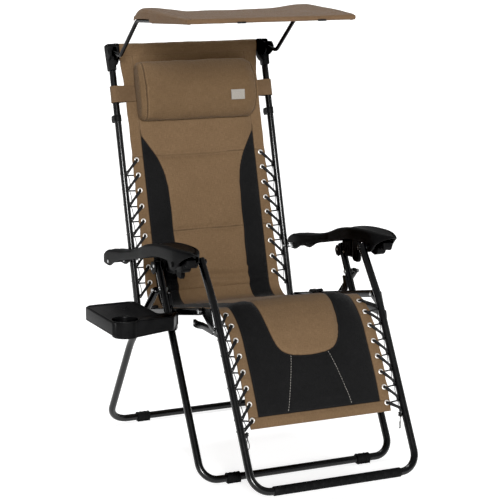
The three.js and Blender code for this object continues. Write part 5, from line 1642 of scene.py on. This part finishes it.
# ------------------------------------------------------------------ floor, light, camera
scene = bpy.context.scene
me = bpy.data.meshes.new("floor")
me.from_pydata([(-60, -60, 0), (60, -60, 0), (60, 90, 0), (-60, 90, 0)], [], [[0, 1, 2, 3]])
g = Graph("pale_floor")
n = g.noise(g.coords(), 3.0, 3)
g.set(Base_Color=g.ramp(n, [(0.3, rgb(0.50, 0.50, 0.50)), (0.7, rgb(0.53, 0.53, 0.53))]), Roughness=g.span(n, 0.2, 0.8, 0.85, 0.95))
g.b.inputs["Specular IOR Level"].default_value = 0.1
g.b.inputs["Emission Color"].default_value = (1.0, 1.0, 1.0, 1.0)
g.b.inputs["Emission Strength"].default_value = 0.74
me.materials.append(g.m)
floor = bpy.data.objects.new("floor", me)
scene.collection.objects.link(floor)

world = bpy.data.worlds.new("studio")
world.use_nodes = True
bg = world.node_tree.nodes["Background"]
bg.inputs[0].default_value = (1.0, 1.0, 1.0, 1.0)
bg.inputs[1].default_value = 0.26
scene.world = world


def area_light(name, loc, target, size, power, color=(1, 1, 1)):
    li = bpy.data.lights.new(name, "AREA")
    li.shape, li.size, li.size_y = "RECTANGLE", size[0], size[1]
    li.energy, li.color = power, color
    o = bpy.data.objects.new(name, li)
    o.location = loc
    o.rotation_euler = (Vector(target) - Vector(loc)).to_track_quat("-Z", "Y").to_euler()
    scene.collection.objects.link(o)
    return o


def sun(name, towards, strength, angle):
    """A light from far off, in the direction the object is seen from."""
    li = bpy.data.lights.new(name, "SUN")
    li.energy, li.angle = strength, math.radians(angle)
    o = bpy.data.objects.new(name, li)
    o.rotation_euler = (-Vector(towards)).to_track_quat("-Z", "Y").to_euler()
    scene.collection.objects.link(o)
    return o


sun("key", (-0.30, -0.86, 0.27), 3.5, 14)
sun("top", (0.05, 0.42, 1.0), 2.0, 16)
area_light("strip_left", (-3.4, 0.4, 1.5), (0, 0.1, 0.7), (0.35, 2.6), 6)
area_light("strip_right", (3.2, -1.2, 1.6), (0, 0, 0.7), (0.4, 2.6), 7)

cam = bpy.data.cameras.new("camera")
cam.lens, cam.sensor_width = 127.761, 36.0
cam.clip_start, cam.clip_end = 0.05, 300
co = bpy.data.objects.new("camera", cam)
co.location = (-2.079513, -4.532102, 1.562407)
co.rotation_euler = (math.radians(79.0136), 0, math.radians(-25.1994))
scene.collection.objects.link(co)
scene.camera = co
scene.view_settings.view_transform = "Standard"
scene.view_settings.look = "None"
scene.view_settings.exposure = 0.0
scene.view_settings.use_curve_mapping = True
levels = scene.view_settings.curve_mapping
levels.black_level = (0.006, 0.006, 0.006)
levels.update()
